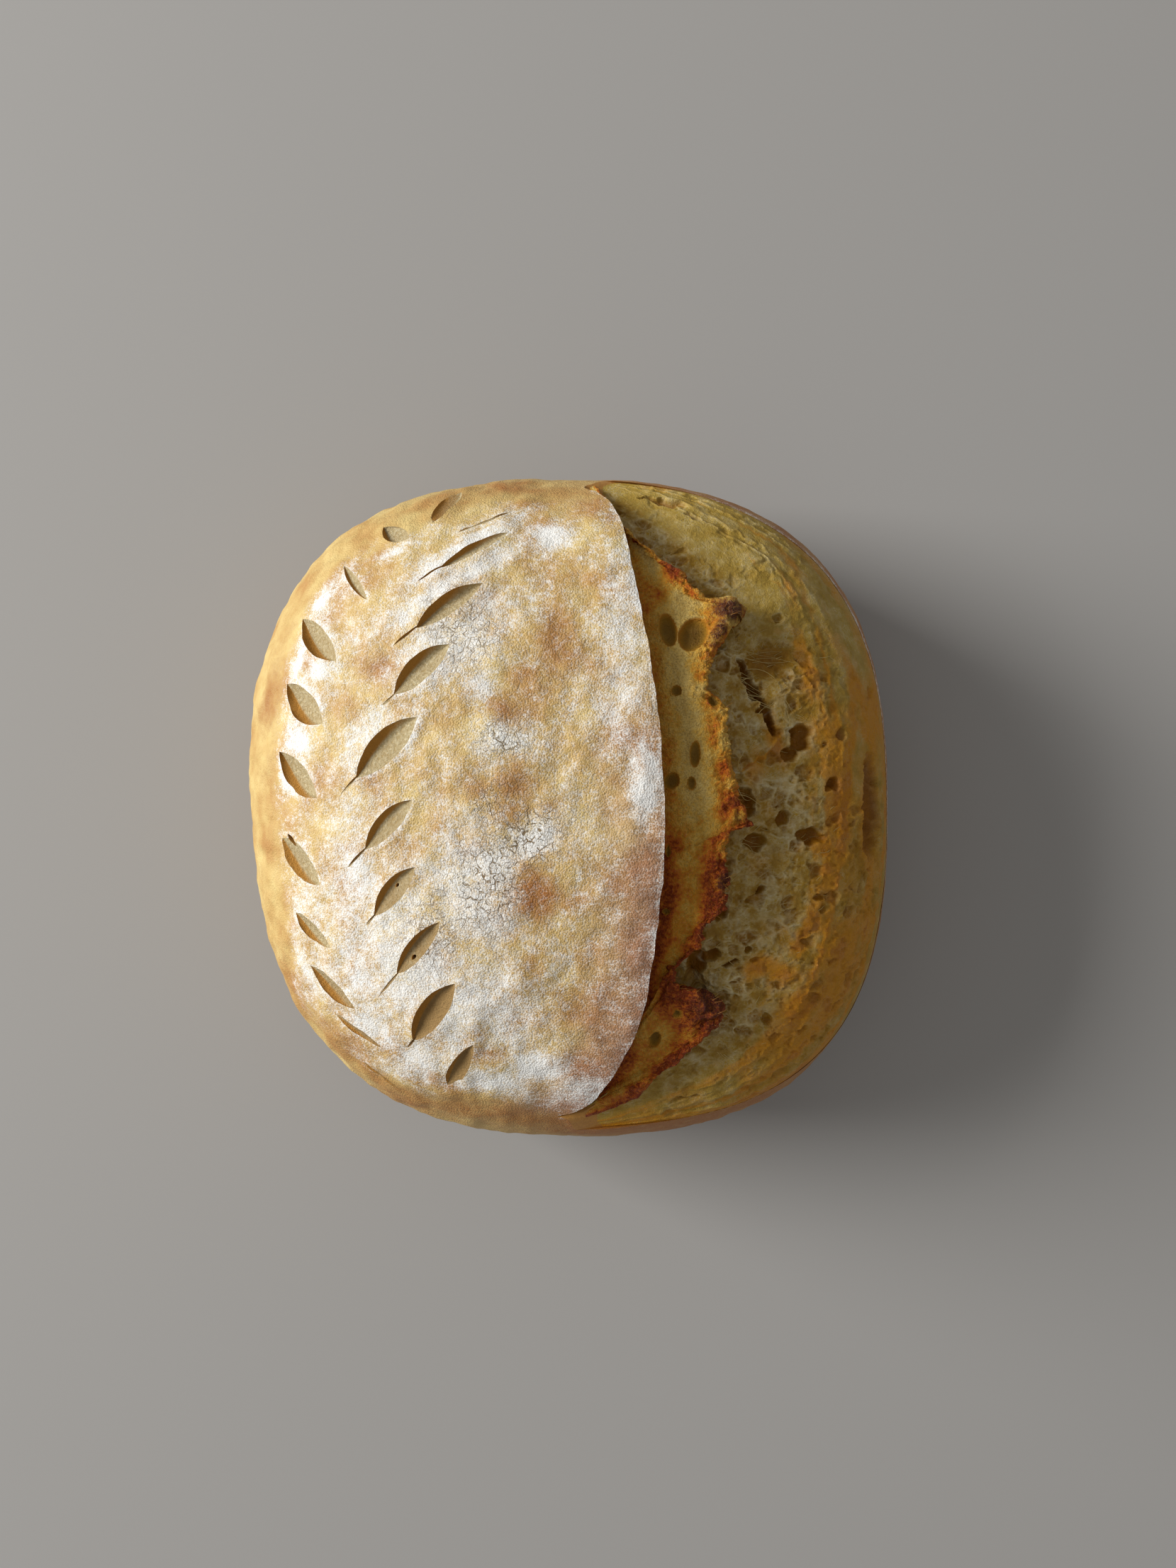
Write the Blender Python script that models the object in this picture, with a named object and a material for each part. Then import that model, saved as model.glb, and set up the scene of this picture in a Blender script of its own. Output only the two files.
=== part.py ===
"""A scored sourdough loaf: one solid with a domed crust, a lifted ear, an open tear and two rows of leaf cuts.

Metres, +Z up. The loaf rests on its flat base at z = 0, with the origin under the middle of its box.
+X runs across the loaf from the floured side to the torn side, and +Y runs along the ear.
"""

import math

import bmesh
import bpy
from mathutils import Matrix, Vector

MM = 0.001

# Crust: a rounded-square outline that domes up from its widest line and tucks in to a flat base.
HALF_WIDTH = 110.5 * MM
HALF_LENGTH = 113.5 * MM
WIDEST_HEIGHT = 34 * MM
DOME_RISE = 73 * MM
TUCK_DEPTH = 40 * MM  # how far down the underside would close if the base were not flat
OUTLINE_POWER = 2.65  # 2 is an ellipse, more is squarer
DOME_POWER = 2.3
TUCK_POWER = 3.0
SMALL_CORNER_ANGLE = math.radians(222)
SMALL_CORNER_SPREAD = math.radians(28)
SMALL_CORNER_SHARE = 0.04
CRUST_CUTS = 21  # cuts along each side of the starting cube

# Ear, torn lip and rim: the three lines of the tear, each from its far end (+Y) to its near end.
EAR_LINE = [(5, 107), (15, 94), (20.5, 71), (26, 37), (28.7, 3), (27.5, -28), (22, -63), (9, -89), (-4, -99)]
LIP_LINE = [(7, 108), (19, 88), (40, 65), (43, 41), (49, 12), (47, -18), (36, -44), (43, -64), (8, -98)]
RIM_LINE = [(9, 110), (47, 102), (81, 82), (100, 50), (106, 8), (104.5, -32), (93, -71), (59, -95), (7, -106)]
EAR_LIFT = 3.0 * MM
EAR_LIFT_REACH = 15 * MM
EAR_OVERHANG = 6.5 * MM  # how far the cleft runs in under the ear

# Across the tear: (which line, share of the way to the next line, sideways step, drop below the crust).
EAR, LIP, RIM = 0, 1, 2
TEAR_STATIONS = [
    (EAR, 0.00, 0.0, 1.4),
    (EAR, 0.00, -5.5, 5.6),
    (EAR, 0.12, 0.0, 7.2),
    (EAR, 0.50, 0.0, 6.4),
    (EAR, 0.82, 0.0, 4.6),
    (EAR, 1.00, -0.6, 3.0),
    (LIP, 0.00, 0.4, 4.4),
    (LIP, 0.02, -1.2, 9.5),
    (LIP, 0.14, 0.0, 10.2),
    (LIP, 0.29, 0.0, 8.8),
    (LIP, 0.44, 0.0, 6.8),
    (LIP, 0.59, 0.0, 4.4),
    (LIP, 0.74, 0.0, 2.5),
    (LIP, 0.88, 0.0, 1.4),
    (RIM, 0.00, 0.0, 0.5),
    (RIM, 0.00, 0.6, -9.0),
]
CLEFT_STATION = 1  # the one that runs in under the ear
TEAR_ROWS = 40
TEAR_END_SHARE = 0.10  # share of the length over which the tear runs out at each end
TEAR_END_RISE = 1.0 * MM
CUTTER_TOP = 160 * MM

# Leaf cuts: two rows that lean towards each other like an ear of wheat.
# Each leaf is (place along the row, length, width) in millimetres.
INNER_LEAVES = [
    (80, 24, 3.8),
    (61, 24, 6.0),
    (42, 23, 6.8),
    (19, 27, 7.8),
    (-4, 21, 6.0),
    (-24, 20, 5.6),
    (-41, 22, 5.0),
    (-61, 24, 6.8),
    (-80, 21, 5.0),
]
OUTER_LEAVES = [
    (87, 12, 6.4),
    (71, 18, 3.6),
    (53, 20, 8.0),
    (33, 19, 9.2),
    (11, 20, 8.6),
    (-15, 23, 8.6),
    (-37, 17, 5.4),
    (-54, 20, 6.4),
    (-70, 22, 3.6),
]
LEAF_DEPTH_SHARE = 0.36  # of the leaf's width
LEAF_LEAN = math.radians(16)  # the cut's steep wall is on its upper left
END_DEPTH_SHARE = 0.4  # how much of its depth a leaf keeps towards its ends
LEAF_SEGMENTS = 12
LEAF_RINGS = 6

# Slits: long blisters that opened in the rim's skin, each (x, y, length, width, direction in degrees).
RIM_SLITS = [(97.8, 0.5, 36, 7.0, 91), (31, 100, 16, 3.0, -14)]

DOUGH = (0.62, 0.42, 0.19, 1.0)
DOUGH_ROUGHNESS = 0.75
SHARP_ANGLE = math.radians(40)


def curve_point(line, share):
    """The point at a share of the way along a smooth curve through the line's points, in metres."""
    place = share * (len(line) - 1)
    start = min(int(place), len(line) - 2)
    t = place - start
    before, a, b, after = (
        Vector((*line[min(max(start + step, 0), len(line) - 1)], 0)) * MM for step in (-1, 0, 1, 2)
    )
    turn = 2 * before - 5 * a + 4 * b - after
    twist = 3 * a - before - 3 * b + after
    return 0.5 * (2 * a + (b - before) * t + turn * t**2 + twist * t**3)


def outline_share(x, y):
    """How far out (x, y) lies: 0 on the loaf's axis and 1 on its widest outline."""
    turn = (math.atan2(y, x) - SMALL_CORNER_ANGLE + math.pi) % (2 * math.pi) - math.pi
    reach = 1 - SMALL_CORNER_SHARE * math.exp(-((turn / SMALL_CORNER_SPREAD) ** 2))
    across = abs(x / HALF_WIDTH) ** OUTLINE_POWER + abs(y / HALF_LENGTH) ** OUTLINE_POWER
    return across ** (1 / OUTLINE_POWER) / reach


def crust_height(x, y):
    """The height of the unbroken dome over (x, y)."""
    share = min(outline_share(x, y), 1.0)
    return WIDEST_HEIGHT + DOME_RISE * (1 - share**DOME_POWER) ** (1 / DOME_POWER)


def crust_slope(x, y):
    """How fast the dome rises towards +X and towards +Y."""
    step = 0.5 * MM
    slope_x = (crust_height(x + step, y) - crust_height(x - step, y)) / (2 * step)
    slope_y = (crust_height(x, y + step) - crust_height(x, y - step)) / (2 * step)
    return slope_x, slope_y


def crust_point(direction):
    """The point of the crust that lies in this direction from the middle of the widest outline."""
    rising = direction.z >= 0
    rise, power = (DOME_RISE, DOME_POWER) if rising else (TUCK_DEPTH, TUCK_POWER)
    share = outline_share(direction.x, direction.y)
    reach = (share**power + abs(direction.z / rise) ** power) ** (-1 / power)
    if not rising:
        reach = min(reach, -WIDEST_HEIGHT / direction.z)
    return direction * reach + Vector((0, 0, WIDEST_HEIGHT))


def tear_depth_share(share):
    """0 at the tear's two ends and 1 along its middle."""
    near_end = min(share, 1 - share) / TEAR_END_SHARE
    return math.sin(0.5 * math.pi * min(near_end, 1.0))


def ear_lift(x, y, ear_points):
    """How much the crust rises towards the ear's edge."""
    distance, share = min(((Vector((x, y, 0)) - point).length, share) for share, point in ear_points)
    return EAR_LIFT * tear_depth_share(share) * math.exp(-((distance / EAR_LIFT_REACH) ** 2))


def new_object(name, bm, collection, is_cutter=False):
    mesh = bpy.data.meshes.new(name)
    bm.to_mesh(mesh)
    bm.free()
    obj = bpy.data.objects.new(name, mesh)
    obj.hide_render = is_cutter
    obj.display_type = "WIRE" if is_cutter else "TEXTURED"
    collection.objects.link(obj)
    return obj


def build_crust(collection):
    """The whole loaf before it tears: a cube, cut into a fine grid and swollen into the dome."""
    ear_points = [(i / TEAR_ROWS, curve_point(EAR_LINE, i / TEAR_ROWS)) for i in range(TEAR_ROWS + 1)]
    bm = bmesh.new()
    bmesh.ops.create_cube(bm, size=2)
    bmesh.ops.subdivide_edges(bm, edges=bm.edges, cuts=CRUST_CUTS, use_grid_fill=True)
    for vertex in bm.verts:
        even = Vector(math.tan(part * math.pi / 4) for part in vertex.co)
        vertex.co = crust_point(even.normalized())
        if vertex.co.z > WIDEST_HEIGHT:
            vertex.co.z += ear_lift(vertex.co.x, vertex.co.y, ear_points)
    return new_object("loaf", bm, collection)


def tear_point(station, share):
    """A point of the tear's floor, at one station across it and one share along it."""
    line, across, sideways, drop = station
    lines = (EAR_LINE, LIP_LINE, RIM_LINE)
    point = curve_point(lines[line], share)
    if line < RIM:
        point = point.lerp(curve_point(lines[line + 1], share), across)
    depth = tear_depth_share(share)
    point.x += sideways * MM * depth
    sunk = drop * MM * depth
    if line == EAR and across < 0.5:
        sunk -= EAR_LIFT * depth * (1 - across)
    point.z = crust_height(point.x, point.y) - sunk + TEAR_END_RISE * (1 - depth)
    return point


def build_tear_cutter(collection):
    """Everything that opened between the ear and the rim, down to the lip and the crumb."""
    columns = len(TEAR_STATIONS)
    bm = bmesh.new()
    bmesh.ops.create_grid(bm, x_segments=columns - 1, y_segments=TEAR_ROWS, size=1)
    cleft_x = {}
    for vertex in bm.verts:
        column = round((vertex.co.x + 1) / 2 * (columns - 1))
        share = (1 - vertex.co.y) / 2
        vertex.co = tear_point(TEAR_STATIONS[column], share)
        if column == CLEFT_STATION:
            cleft_x[vertex.co.copy().freeze()] = vertex.co.x + EAR_OVERHANG
    made = bmesh.ops.extrude_face_region(bm, geom=bm.faces[:])
    # The roof starts over the ear's edge, so that the wall drops straight to it and only then runs under.
    for vertex in (item for item in made["geom"] if isinstance(item, bmesh.types.BMVert)):
        vertex.co.x = cleft_x.get(vertex.co.copy().freeze(), vertex.co.x)
        vertex.co.z = CUTTER_TOP
    bmesh.ops.recalc_face_normals(bm, faces=bm.faces)
    return new_object("tear_cutter", bm, collection, is_cutter=True)


def inner_row(y):
    """(x, direction in degrees) of an inner leaf whose middle is at y millimetres."""
    return -53 + 22 * (y / 80) ** 2, 45 - 0.19 * y


def outer_row(y):
    """(x, direction in degrees) of an outer leaf whose middle is at y millimetres."""
    return -84 + 45 * abs((y + 2) / 100) ** 3, -42 - 0.08 * y


def build_leaf_cutter(name, x, y, length, width, degrees, lean, collection):
    """A lens with pointed ends, set into the crust along its normal and leaned to one side."""
    place = Vector((x, y, 0)) * MM
    place.z = crust_height(place.x, place.y)
    slope_x, slope_y = crust_slope(place.x, place.y)
    up = Vector((-slope_x, -slope_y, 1)).normalized()
    along = Vector((math.cos(math.radians(degrees)), math.sin(math.radians(degrees)), 0))
    along.z = slope_x * along.x + slope_y * along.y
    slope_length = along.length * length / 2 * MM  # the length is measured from above
    along.normalize()
    bm = bmesh.new()
    bmesh.ops.create_uvsphere(bm, u_segments=LEAF_SEGMENTS, v_segments=LEAF_RINGS, radius=1)
    bmesh.ops.rotate(bm, verts=bm.verts, cent=(0, 0, 0), matrix=Matrix.Rotation(math.pi / 2, 3, "Y"))
    for vertex in bm.verts:
        pointed = (1 - min(abs(vertex.co.x), 1) ** 2) ** 0.5
        vertex.co.y *= pointed * width / 2 * MM
        vertex.co.z *= (END_DEPTH_SHARE + (1 - END_DEPTH_SHARE) * pointed) * width * LEAF_DEPTH_SHARE * MM
        vertex.co.x *= slope_length
    frame = Matrix((along, up.cross(along), up)).transposed()
    turn = Matrix.Translation(place) @ frame.to_4x4() @ Matrix.Rotation(lean, 4, "X")
    bmesh.ops.transform(bm, matrix=turn, verts=bm.verts)
    bmesh.ops.recalc_face_normals(bm, faces=bm.faces)
    return new_object(name, bm, collection, is_cutter=True)


def build_leaf_cutters(collection):
    cutters = []
    for side, leaves, row, lean in (
        ("inner", INNER_LEAVES, inner_row, LEAF_LEAN),
        ("outer", OUTER_LEAVES, outer_row, -LEAF_LEAN),
    ):
        for number, (y, length, width) in enumerate(leaves):
            x, degrees = row(y)
            name = f"{side}_leaf_cutter_{number}"
            cutters.append(build_leaf_cutter(name, x, y, length, width, degrees, lean, collection))
    for number, slit in enumerate(RIM_SLITS):
        cutters.append(build_leaf_cutter(f"slit_cutter_{number}", *slit, 0.0, collection))
    return cutters


def cut(body, cutter):
    modifier = body.modifiers.new(cutter.name, "BOOLEAN")
    modifier.operation = "DIFFERENCE"
    modifier.object = cutter


def dough_material():
    material = bpy.data.materials.new("baked_crust")
    material.use_nodes = True
    shader = material.node_tree.nodes["Principled BSDF"]
    shader.inputs["Base Color"].default_value = DOUGH
    shader.inputs["Roughness"].default_value = DOUGH_ROUGHNESS
    shader.inputs["Metallic"].default_value = 0.0
    return material


def main():
    for obj in list(bpy.data.objects):
        bpy.data.objects.remove(obj)
    loaf_collection = bpy.data.collections.new("sourdough_loaf")
    cutter_collection = bpy.data.collections.new("cutters")
    for collection in (loaf_collection, cutter_collection):
        bpy.context.scene.collection.children.link(collection)
    loaf = build_crust(loaf_collection)
    loaf.data.materials.append(dough_material())
    cut(loaf, build_tear_cutter(cutter_collection))
    for cutter in build_leaf_cutters(cutter_collection):
        cut(loaf, cutter)
    loaf.data.shade_smooth()
    loaf.data.set_sharp_from_angle(angle=SHARP_ANGLE)


main()
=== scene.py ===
# Sourdough loaf: floured crust with two rows of leaf cuts, a lifted ear, a torn lip and open crumb.
# Metres, +Z up. The loaf lies on its flat base, ear along +Y, torn side towards +X.

import math

import bpy
import numpy as np
from mathutils import Matrix, Vector, noise


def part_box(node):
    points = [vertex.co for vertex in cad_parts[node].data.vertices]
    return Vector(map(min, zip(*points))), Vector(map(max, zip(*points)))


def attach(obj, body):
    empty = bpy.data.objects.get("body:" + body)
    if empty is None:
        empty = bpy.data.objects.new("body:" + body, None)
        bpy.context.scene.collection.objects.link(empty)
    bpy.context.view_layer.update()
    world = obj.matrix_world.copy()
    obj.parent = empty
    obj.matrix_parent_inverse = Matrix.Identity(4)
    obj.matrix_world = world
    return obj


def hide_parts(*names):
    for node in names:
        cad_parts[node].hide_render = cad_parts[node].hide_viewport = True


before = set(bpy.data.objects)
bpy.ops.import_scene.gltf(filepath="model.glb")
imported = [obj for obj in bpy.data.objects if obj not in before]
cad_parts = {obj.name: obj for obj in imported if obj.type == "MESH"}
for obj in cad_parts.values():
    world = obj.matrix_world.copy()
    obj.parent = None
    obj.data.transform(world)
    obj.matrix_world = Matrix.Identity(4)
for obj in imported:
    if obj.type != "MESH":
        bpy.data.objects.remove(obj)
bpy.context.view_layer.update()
loafLow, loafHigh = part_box("loaf")
mm = 0.001
bodyName = "root"

# The loaf's form, as its solid has it: a rounded square that domes up and tucks in to a flat base.
form = {
    "halfWidth": (loafHigh.x - loafLow.x) / 2,
    "halfLength": (loafHigh.y - loafLow.y) / 2,
    "widestHeight": 34 * mm,
    "domeRise": 73 * mm,
    "tuckDepth": 40 * mm,
    "outlinePower": 2.65,  # 2 is an ellipse, more is squarer
    "domePower": 2.3,
    "tuckPower": 3.0,
    "smallCorner": math.radians(222),
    "smallCornerSpread": math.radians(28),
    "smallCornerShare": 0.04,
}

# The three lines of the tear in mm, from the far end to the near end.
earLine = [(5, 107), (15, 94), (20.5, 71), (26, 37), (28.7, 3), (27.5, -28), (22, -63), (9, -89), (-4, -99)]
lipLine = [(7, 108), (19, 88), (40, 65), (43, 41), (49, 12), (47, -18), (36, -44), (43, -64), (0, -100)]
rimLine = [
    (9, 110), (47, 102), (81, 82), (100, 50), (106, 8), (104.5, -32), (93, -71), (59, -95), (0, -105),
]
ear = {
    "lift": 3.0 * mm,
    "reach": 15 * mm,  # how far behind its edge the skin rises to it
    "endShare": 0.12,  # of the tear's length, over which it opens to its full depth
    "endRise": 0.8 * mm,  # how far the cutter stands clear of the dome at the tear's ends
    "endSink": 0.45 * mm,  # how far the lip and the crumb lie below the skin there
    "wander": 0.35 * mm,
}


def hexColour(code):  # sRGB hex to linear
    parts = [int(code[i : i + 2], 16) / 255 for i in (1, 3, 5)]
    return (*[p / 12.92 if p <= 0.04045 else ((p + 0.055) / 1.055) ** 2.4 for p in parts], 1.0)


def smooth(low, high, value):
    t = np.clip((value - low) / (high - low), 0, 1)
    return t * t * (3 - 2 * t)


def fade(away, reach):  # 1 where away is 0, falling softly to 0 over about twice the reach
    return np.exp(-((away / reach) ** 2))


def curveAt(line, share):  # points of a smooth curve through the line, in the line's own units
    points = np.array(line, float)
    place = np.clip(share, 0, 1) * (len(points) - 1)
    start = np.minimum(place.astype(int), len(points) - 2)
    t = (place - start)[..., None]
    before, a, b, after = (points[np.clip(start + step, 0, len(points) - 1)] for step in (-1, 0, 1, 2))
    bend = (2 * before - 5 * a + 4 * b - after) * t**2 + (3 * a - before - 3 * b + after) * t**3
    return 0.5 * (2 * a + (b - before) * t + bend)


def outlineReach(angle):
    turn = (angle - form["smallCorner"] + np.pi) % (2 * np.pi) - np.pi
    return 1 - form["smallCornerShare"] * fade(turn, form["smallCornerSpread"])


def outlineShare(x, y):  # 0 on the axis, 1 on the widest outline
    power = form["outlinePower"]
    across = np.abs(x / form["halfWidth"]) ** power + np.abs(y / form["halfLength"]) ** power
    return across ** (1 / power) / outlineReach(np.arctan2(y, x))


def domeHeight(x, y):
    share = np.minimum(outlineShare(x, y), 1.0)
    power = form["domePower"]
    return form["widestHeight"] + form["domeRise"] * (1 - share**power) ** (1 / power)


def domeSlopes(x, y):
    step = 0.5 * mm
    slopeX = (domeHeight(x + step, y) - domeHeight(x - step, y)) / (2 * step)
    slopeY = (domeHeight(x, y + step) - domeHeight(x, y - step)) / (2 * step)
    return slopeX, slopeY


def tearDepth(share):  # 0 at the tear's ends, 1 along its middle
    return smooth(0, ear["endShare"], np.minimum(share, 1 - share))


earSteps = np.linspace(0, 1, 240)
earPoints = curveAt(earLine, earSteps) * mm


def earLift(x, y):  # how far the skin rises towards the ear, in batches of points
    lift = np.zeros(len(x))
    batch = 4000
    for start in range(0, len(x), batch):
        part = slice(start, start + batch)
        away = np.hypot(x[part, None] - earPoints[:, 0], y[part, None] - earPoints[:, 1])
        nearest = away.argmin(1)
        distance = away[np.arange(len(nearest)), nearest]
        lift[part] = tearDepth(earSteps[nearest]) * fade(distance, ear["reach"])
    return ear["lift"] * lift


def noiseAt(points, size, seed=0):  # smooth noise, about -1 to 1, whose lumps are this size across
    shift = Vector((seed * 13.7, seed * 7.9, seed * 3.1))
    return np.array([noise.noise(Vector(point) / size + shift) for point in points])


def pointsOf(piece):
    flat = np.empty(len(piece.data.vertices) * 3)
    piece.data.vertices.foreach_get("co", flat)
    return flat.reshape(-1, 3)


def setPoints(piece, points):
    piece.data.vertices.foreach_set("co", points.ravel())
    piece.data.update()


def normalsOf(piece):
    flat = np.empty(len(piece.data.vertices) * 3)
    piece.data.vertices.foreach_get("normal", flat)
    return flat.reshape(-1, 3)


def setAttribute(piece, name, values):
    layer = piece.data.attributes.new(name, "FLOAT", "POINT")
    layer.data.foreach_set("value", np.clip(values, 0, 1).astype(np.float32))


def startPiece(name, columns, rows):  # a flat grid of 2 by 2, to be shaped
    bpy.ops.object.select_all(action="DESELECT")
    bpy.ops.mesh.primitive_grid_add(x_subdivisions=columns, y_subdivisions=rows, size=2)
    piece = bpy.context.object
    piece.name = piece.data.name = name
    return piece


def chooseOnly(piece):
    bpy.ops.object.select_all(action="DESELECT")
    piece.select_set(True)
    bpy.context.view_layer.objects.active = piece


def closeBelow(piece, level, shrink=1.0):  # the open border goes down to one level and is filled there
    chooseOnly(piece)
    bpy.ops.object.mode_set(mode="EDIT")
    bpy.ops.mesh.select_mode(type="EDGE")
    bpy.ops.mesh.select_all(action="DESELECT")
    bpy.ops.mesh.select_non_manifold()
    bpy.ops.mesh.extrude_edges_move()
    bpy.ops.object.mode_set(mode="OBJECT")
    points = pointsOf(piece)
    chosen = np.empty(len(points), bool)
    piece.data.vertices.foreach_get("select", chosen)
    points[chosen, 2] = level
    points[chosen, :2] *= shrink
    setPoints(piece, points)
    bpy.ops.object.mode_set(mode="EDIT")
    bpy.ops.mesh.edge_face_add()
    bpy.ops.mesh.select_all(action="SELECT")
    bpy.ops.mesh.normals_make_consistent(inside=False)
    bpy.ops.object.mode_set(mode="OBJECT")


def cutAway(piece, cutter):
    chooseOnly(piece)
    modifier = piece.modifiers.new(cutter.name, "BOOLEAN")
    modifier.operation = "DIFFERENCE"
    modifier.solver = "MANIFOLD"
    modifier.object = cutter
    bpy.ops.object.modifier_apply(modifier=modifier.name)
    bpy.data.objects.remove(cutter)


def finishPiece(piece, sharpAngle):
    chooseOnly(piece)
    bpy.ops.object.shade_smooth_by_angle(angle=math.radians(sharpAngle))
    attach(piece, bodyName)
    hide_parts("loaf")
    piece.data.calc_loop_triangles()
    print(f"{piece.name}: {len(piece.data.loop_triangles)} triangles")


def addNode(tree, kind, settings=None, links=None):
    node = tree.nodes.new(kind)
    for name, value in (settings or {}).items():
        if isinstance(name, str) and name in node.bl_rna.properties:
            setattr(node, name, value)
        else:
            node.inputs[name].default_value = value
    for name, source in (links or {}).items():
        tree.links.new(source, node.inputs[name])
    return node


def newMaterial(name):
    material = bpy.data.materials.new(name)
    material.use_nodes = True
    material.node_tree.nodes.clear()
    return material, material.node_tree


# The leaf cuts, in two rows: (x, y, length, width, direction in degrees, stem length) in mm.
leaves = {
    "inner": [
        (-26, 90, 20, 1.2, 24, 0),
        (-28, 80, 24.5, 3.7, 31, 8),
        (-35, 61.5, 24, 5.9, 35, 9),
        (-43, 42, 23, 6.7, 42, 10),
        (-53, 19, 27, 7.7, 43, 7),
        (-52.6, -4, 21, 5.7, 45, 10),
        (-51, -24, 20, 5.4, 49, 9),
        (-44, -41, 22, 4.9, 50, 10),
        (-40, -61, 24, 6.8, 54, 4),
        (-33, -80, 21, 4.8, 61, 0),
    ],
    "outer": [
        (-39, 98, 17, 4.6, 62, 0),
        (-54, 87, 11, 5.0, -30, 0),
        (-66, 71, 16, 2.4, -53, 0),
        (-77, 53, 20, 6.3, -47, 0),
        (-81, 33, 19, 7.2, -43, 0),
        (-83, 11, 20, 6.6, -46, 0),
        (-83, -15, 23, 6.8, -45, 0),
        (-79, -37, 17, 4.2, -40, 0),
        (-73, -55, 20, 5.0, -39, 0),
        (-66, -69, 22, 2.2, -33, 0),
        (-61, -85, 34, 1.8, -39, 0),
    ],
    # small bubbles opened in some leaves: (x, y, length, width, direction in degrees, depth share)
    "pits": [
        (-86, -9.5, 5.0, 2.2, -55, 2.2),
        (-50.5, -22.3, 1.7, 1.3, 50, 3.2),
        (-45.6, -44, 2.1, 1.5, 50, 3.0),
    ],
    "depthShare": 0.27,  # of the width
    "bow": 0.08,  # how far the outer edge bows past the inner one
    "plump": 2.3,  # how full the lens is: more is blunter
    "widen": {"inner": 1.2, "outer": 1.3},
    # the floor: where across the leaf it is lowest, and the two powers that shape each wall and the ends
    "deepest": 0.42,
    "steepWall": (1.7, 0.9),
    "gentleWall": (1.1, 0.85),
    "ends": (2.4, 0.8),
    "roof": 4 * mm,  # how far the cutter stands above the skin
    "rimRise": 0.4 * mm,
    "rimReach": 2.8 * mm,
    "rimFullWidth": 6,  # mm, the width from which the raised rim is full
    "rimLeastWidth": 1.5,  # mm, below which there is no rim
    "stemWidth": 0.9,
    "stemDepthShare": 0.22,
    "stemOverlap": 2,  # mm, how far the stem reaches into its leaf
    "leafMesh": (28, 14),  # segments and rings
    "stemMesh": (10, 8),
    "pitMesh": (12, 8),
}


def allLeaves():
    for side, steep in (("inner", 1), ("outer", -1)):
        for x, y, length, width, degrees, stem in leaves[side]:
            yield x, y, length, width * leaves["widen"][side], degrees, stem, steep


def leafDistance(x, y, leaf):  # how far outside the leaf's edge a point lies, negative inside
    middleX, middleY, length, width, degrees = leaf[:5]
    turn = math.radians(degrees)
    alongX, alongY = math.cos(turn), math.sin(turn)
    stepX, stepY = x - middleX * mm, y - middleY * mm
    along = (stepX * alongX + stepY * alongY) / (length / 2 * mm)
    across = np.abs(stepY * alongX - stepX * alongY)
    edge = width / 2 * mm * np.clip(1 - np.abs(along) ** leaves["plump"], 0, 1)
    past = np.maximum(np.abs(along) - 1, 0) * length / 2 * mm
    return np.hypot(np.maximum(across - edge, 0), past) - (across < edge) * 0.1 * mm


# A place on the dome, the axes there, and how much longer a length along the slope is than in plan.
def surfaceFrame(x, y, degrees):
    slopeX, slopeY = (float(slope) for slope in domeSlopes(x, y))
    up = Vector((-slopeX, -slopeY, 1)).normalized()
    along = Vector((math.cos(math.radians(degrees)), math.sin(math.radians(degrees)), 0))
    along.z = slopeX * along.x + slopeY * along.y
    stretch = along.length
    along.normalize()
    place = Vector((x, y, float(domeHeight(x, y))))
    return place, Matrix((along, up.cross(along), up)).transposed(), stretch


def leafCutter(x, y, length, width, degrees, steep, depthShare, mesh):
    bpy.ops.mesh.primitive_uv_sphere_add(segments=mesh[0], ring_count=mesh[1], radius=1)
    cutter = bpy.context.object
    points = pointsOf(cutter)
    along, around = points[:, 2], np.arctan2(points[:, 1], points[:, 0])
    side, height = np.cos(around), np.sin(around)  # side 1 is the steep wall
    reach = width / 2 * mm * (1 - np.abs(along) ** leaves["plump"])
    deepest = leaves["deepest"]
    past = np.where(side > deepest, (side - deepest) / (1 - deepest), (deepest - side) / (1 + deepest))
    (steepIn, steepOut), (gentleIn, gentleOut) = leaves["steepWall"], leaves["gentleWall"]
    fall = np.where(side > deepest, (1 - past**steepIn) ** steepOut, (1 - past**gentleIn) ** gentleOut)
    endIn, endOut = leaves["ends"]
    floor = -width * depthShare * mm * fall * (1 - np.abs(along) ** endIn) ** endOut
    roof = height * leaves["roof"]
    bow = leaves["bow"] * width * mm * (1 - along**2)
    shaped = np.empty_like(points)
    place, turned, stretch = surfaceFrame(x * mm, y * mm, degrees)
    shaped[:, 0] = along * length / 2 * mm * stretch
    shaped[:, 1] = steep * (side * reach + bow)
    shaped[:, 2] = np.where(height < -0.001, floor, roof)
    setPoints(cutter, shaped @ np.array(turned).T + np.array(place))
    return cutter


def joinCutters(cutters, name, finish, materials):  # the cut's walls take one of the crust's finishes
    bpy.ops.object.select_all(action="DESELECT")
    for cutter in cutters:
        cutter.select_set(True)
    bpy.context.view_layer.objects.active = cutters[0]
    if len(cutters) > 1:
        bpy.ops.object.join()
    joined = bpy.context.object
    joined.name = name
    bpy.ops.object.mode_set(mode="EDIT")
    bpy.ops.mesh.select_all(action="SELECT")
    bpy.ops.mesh.normals_make_consistent(inside=False)
    bpy.ops.object.mode_set(mode="OBJECT")
    for material in materials:
        joined.data.materials.append(material)
    joined.data.polygons.foreach_set("material_index", [finish] * len(joined.data.polygons))
    return joined


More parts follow.
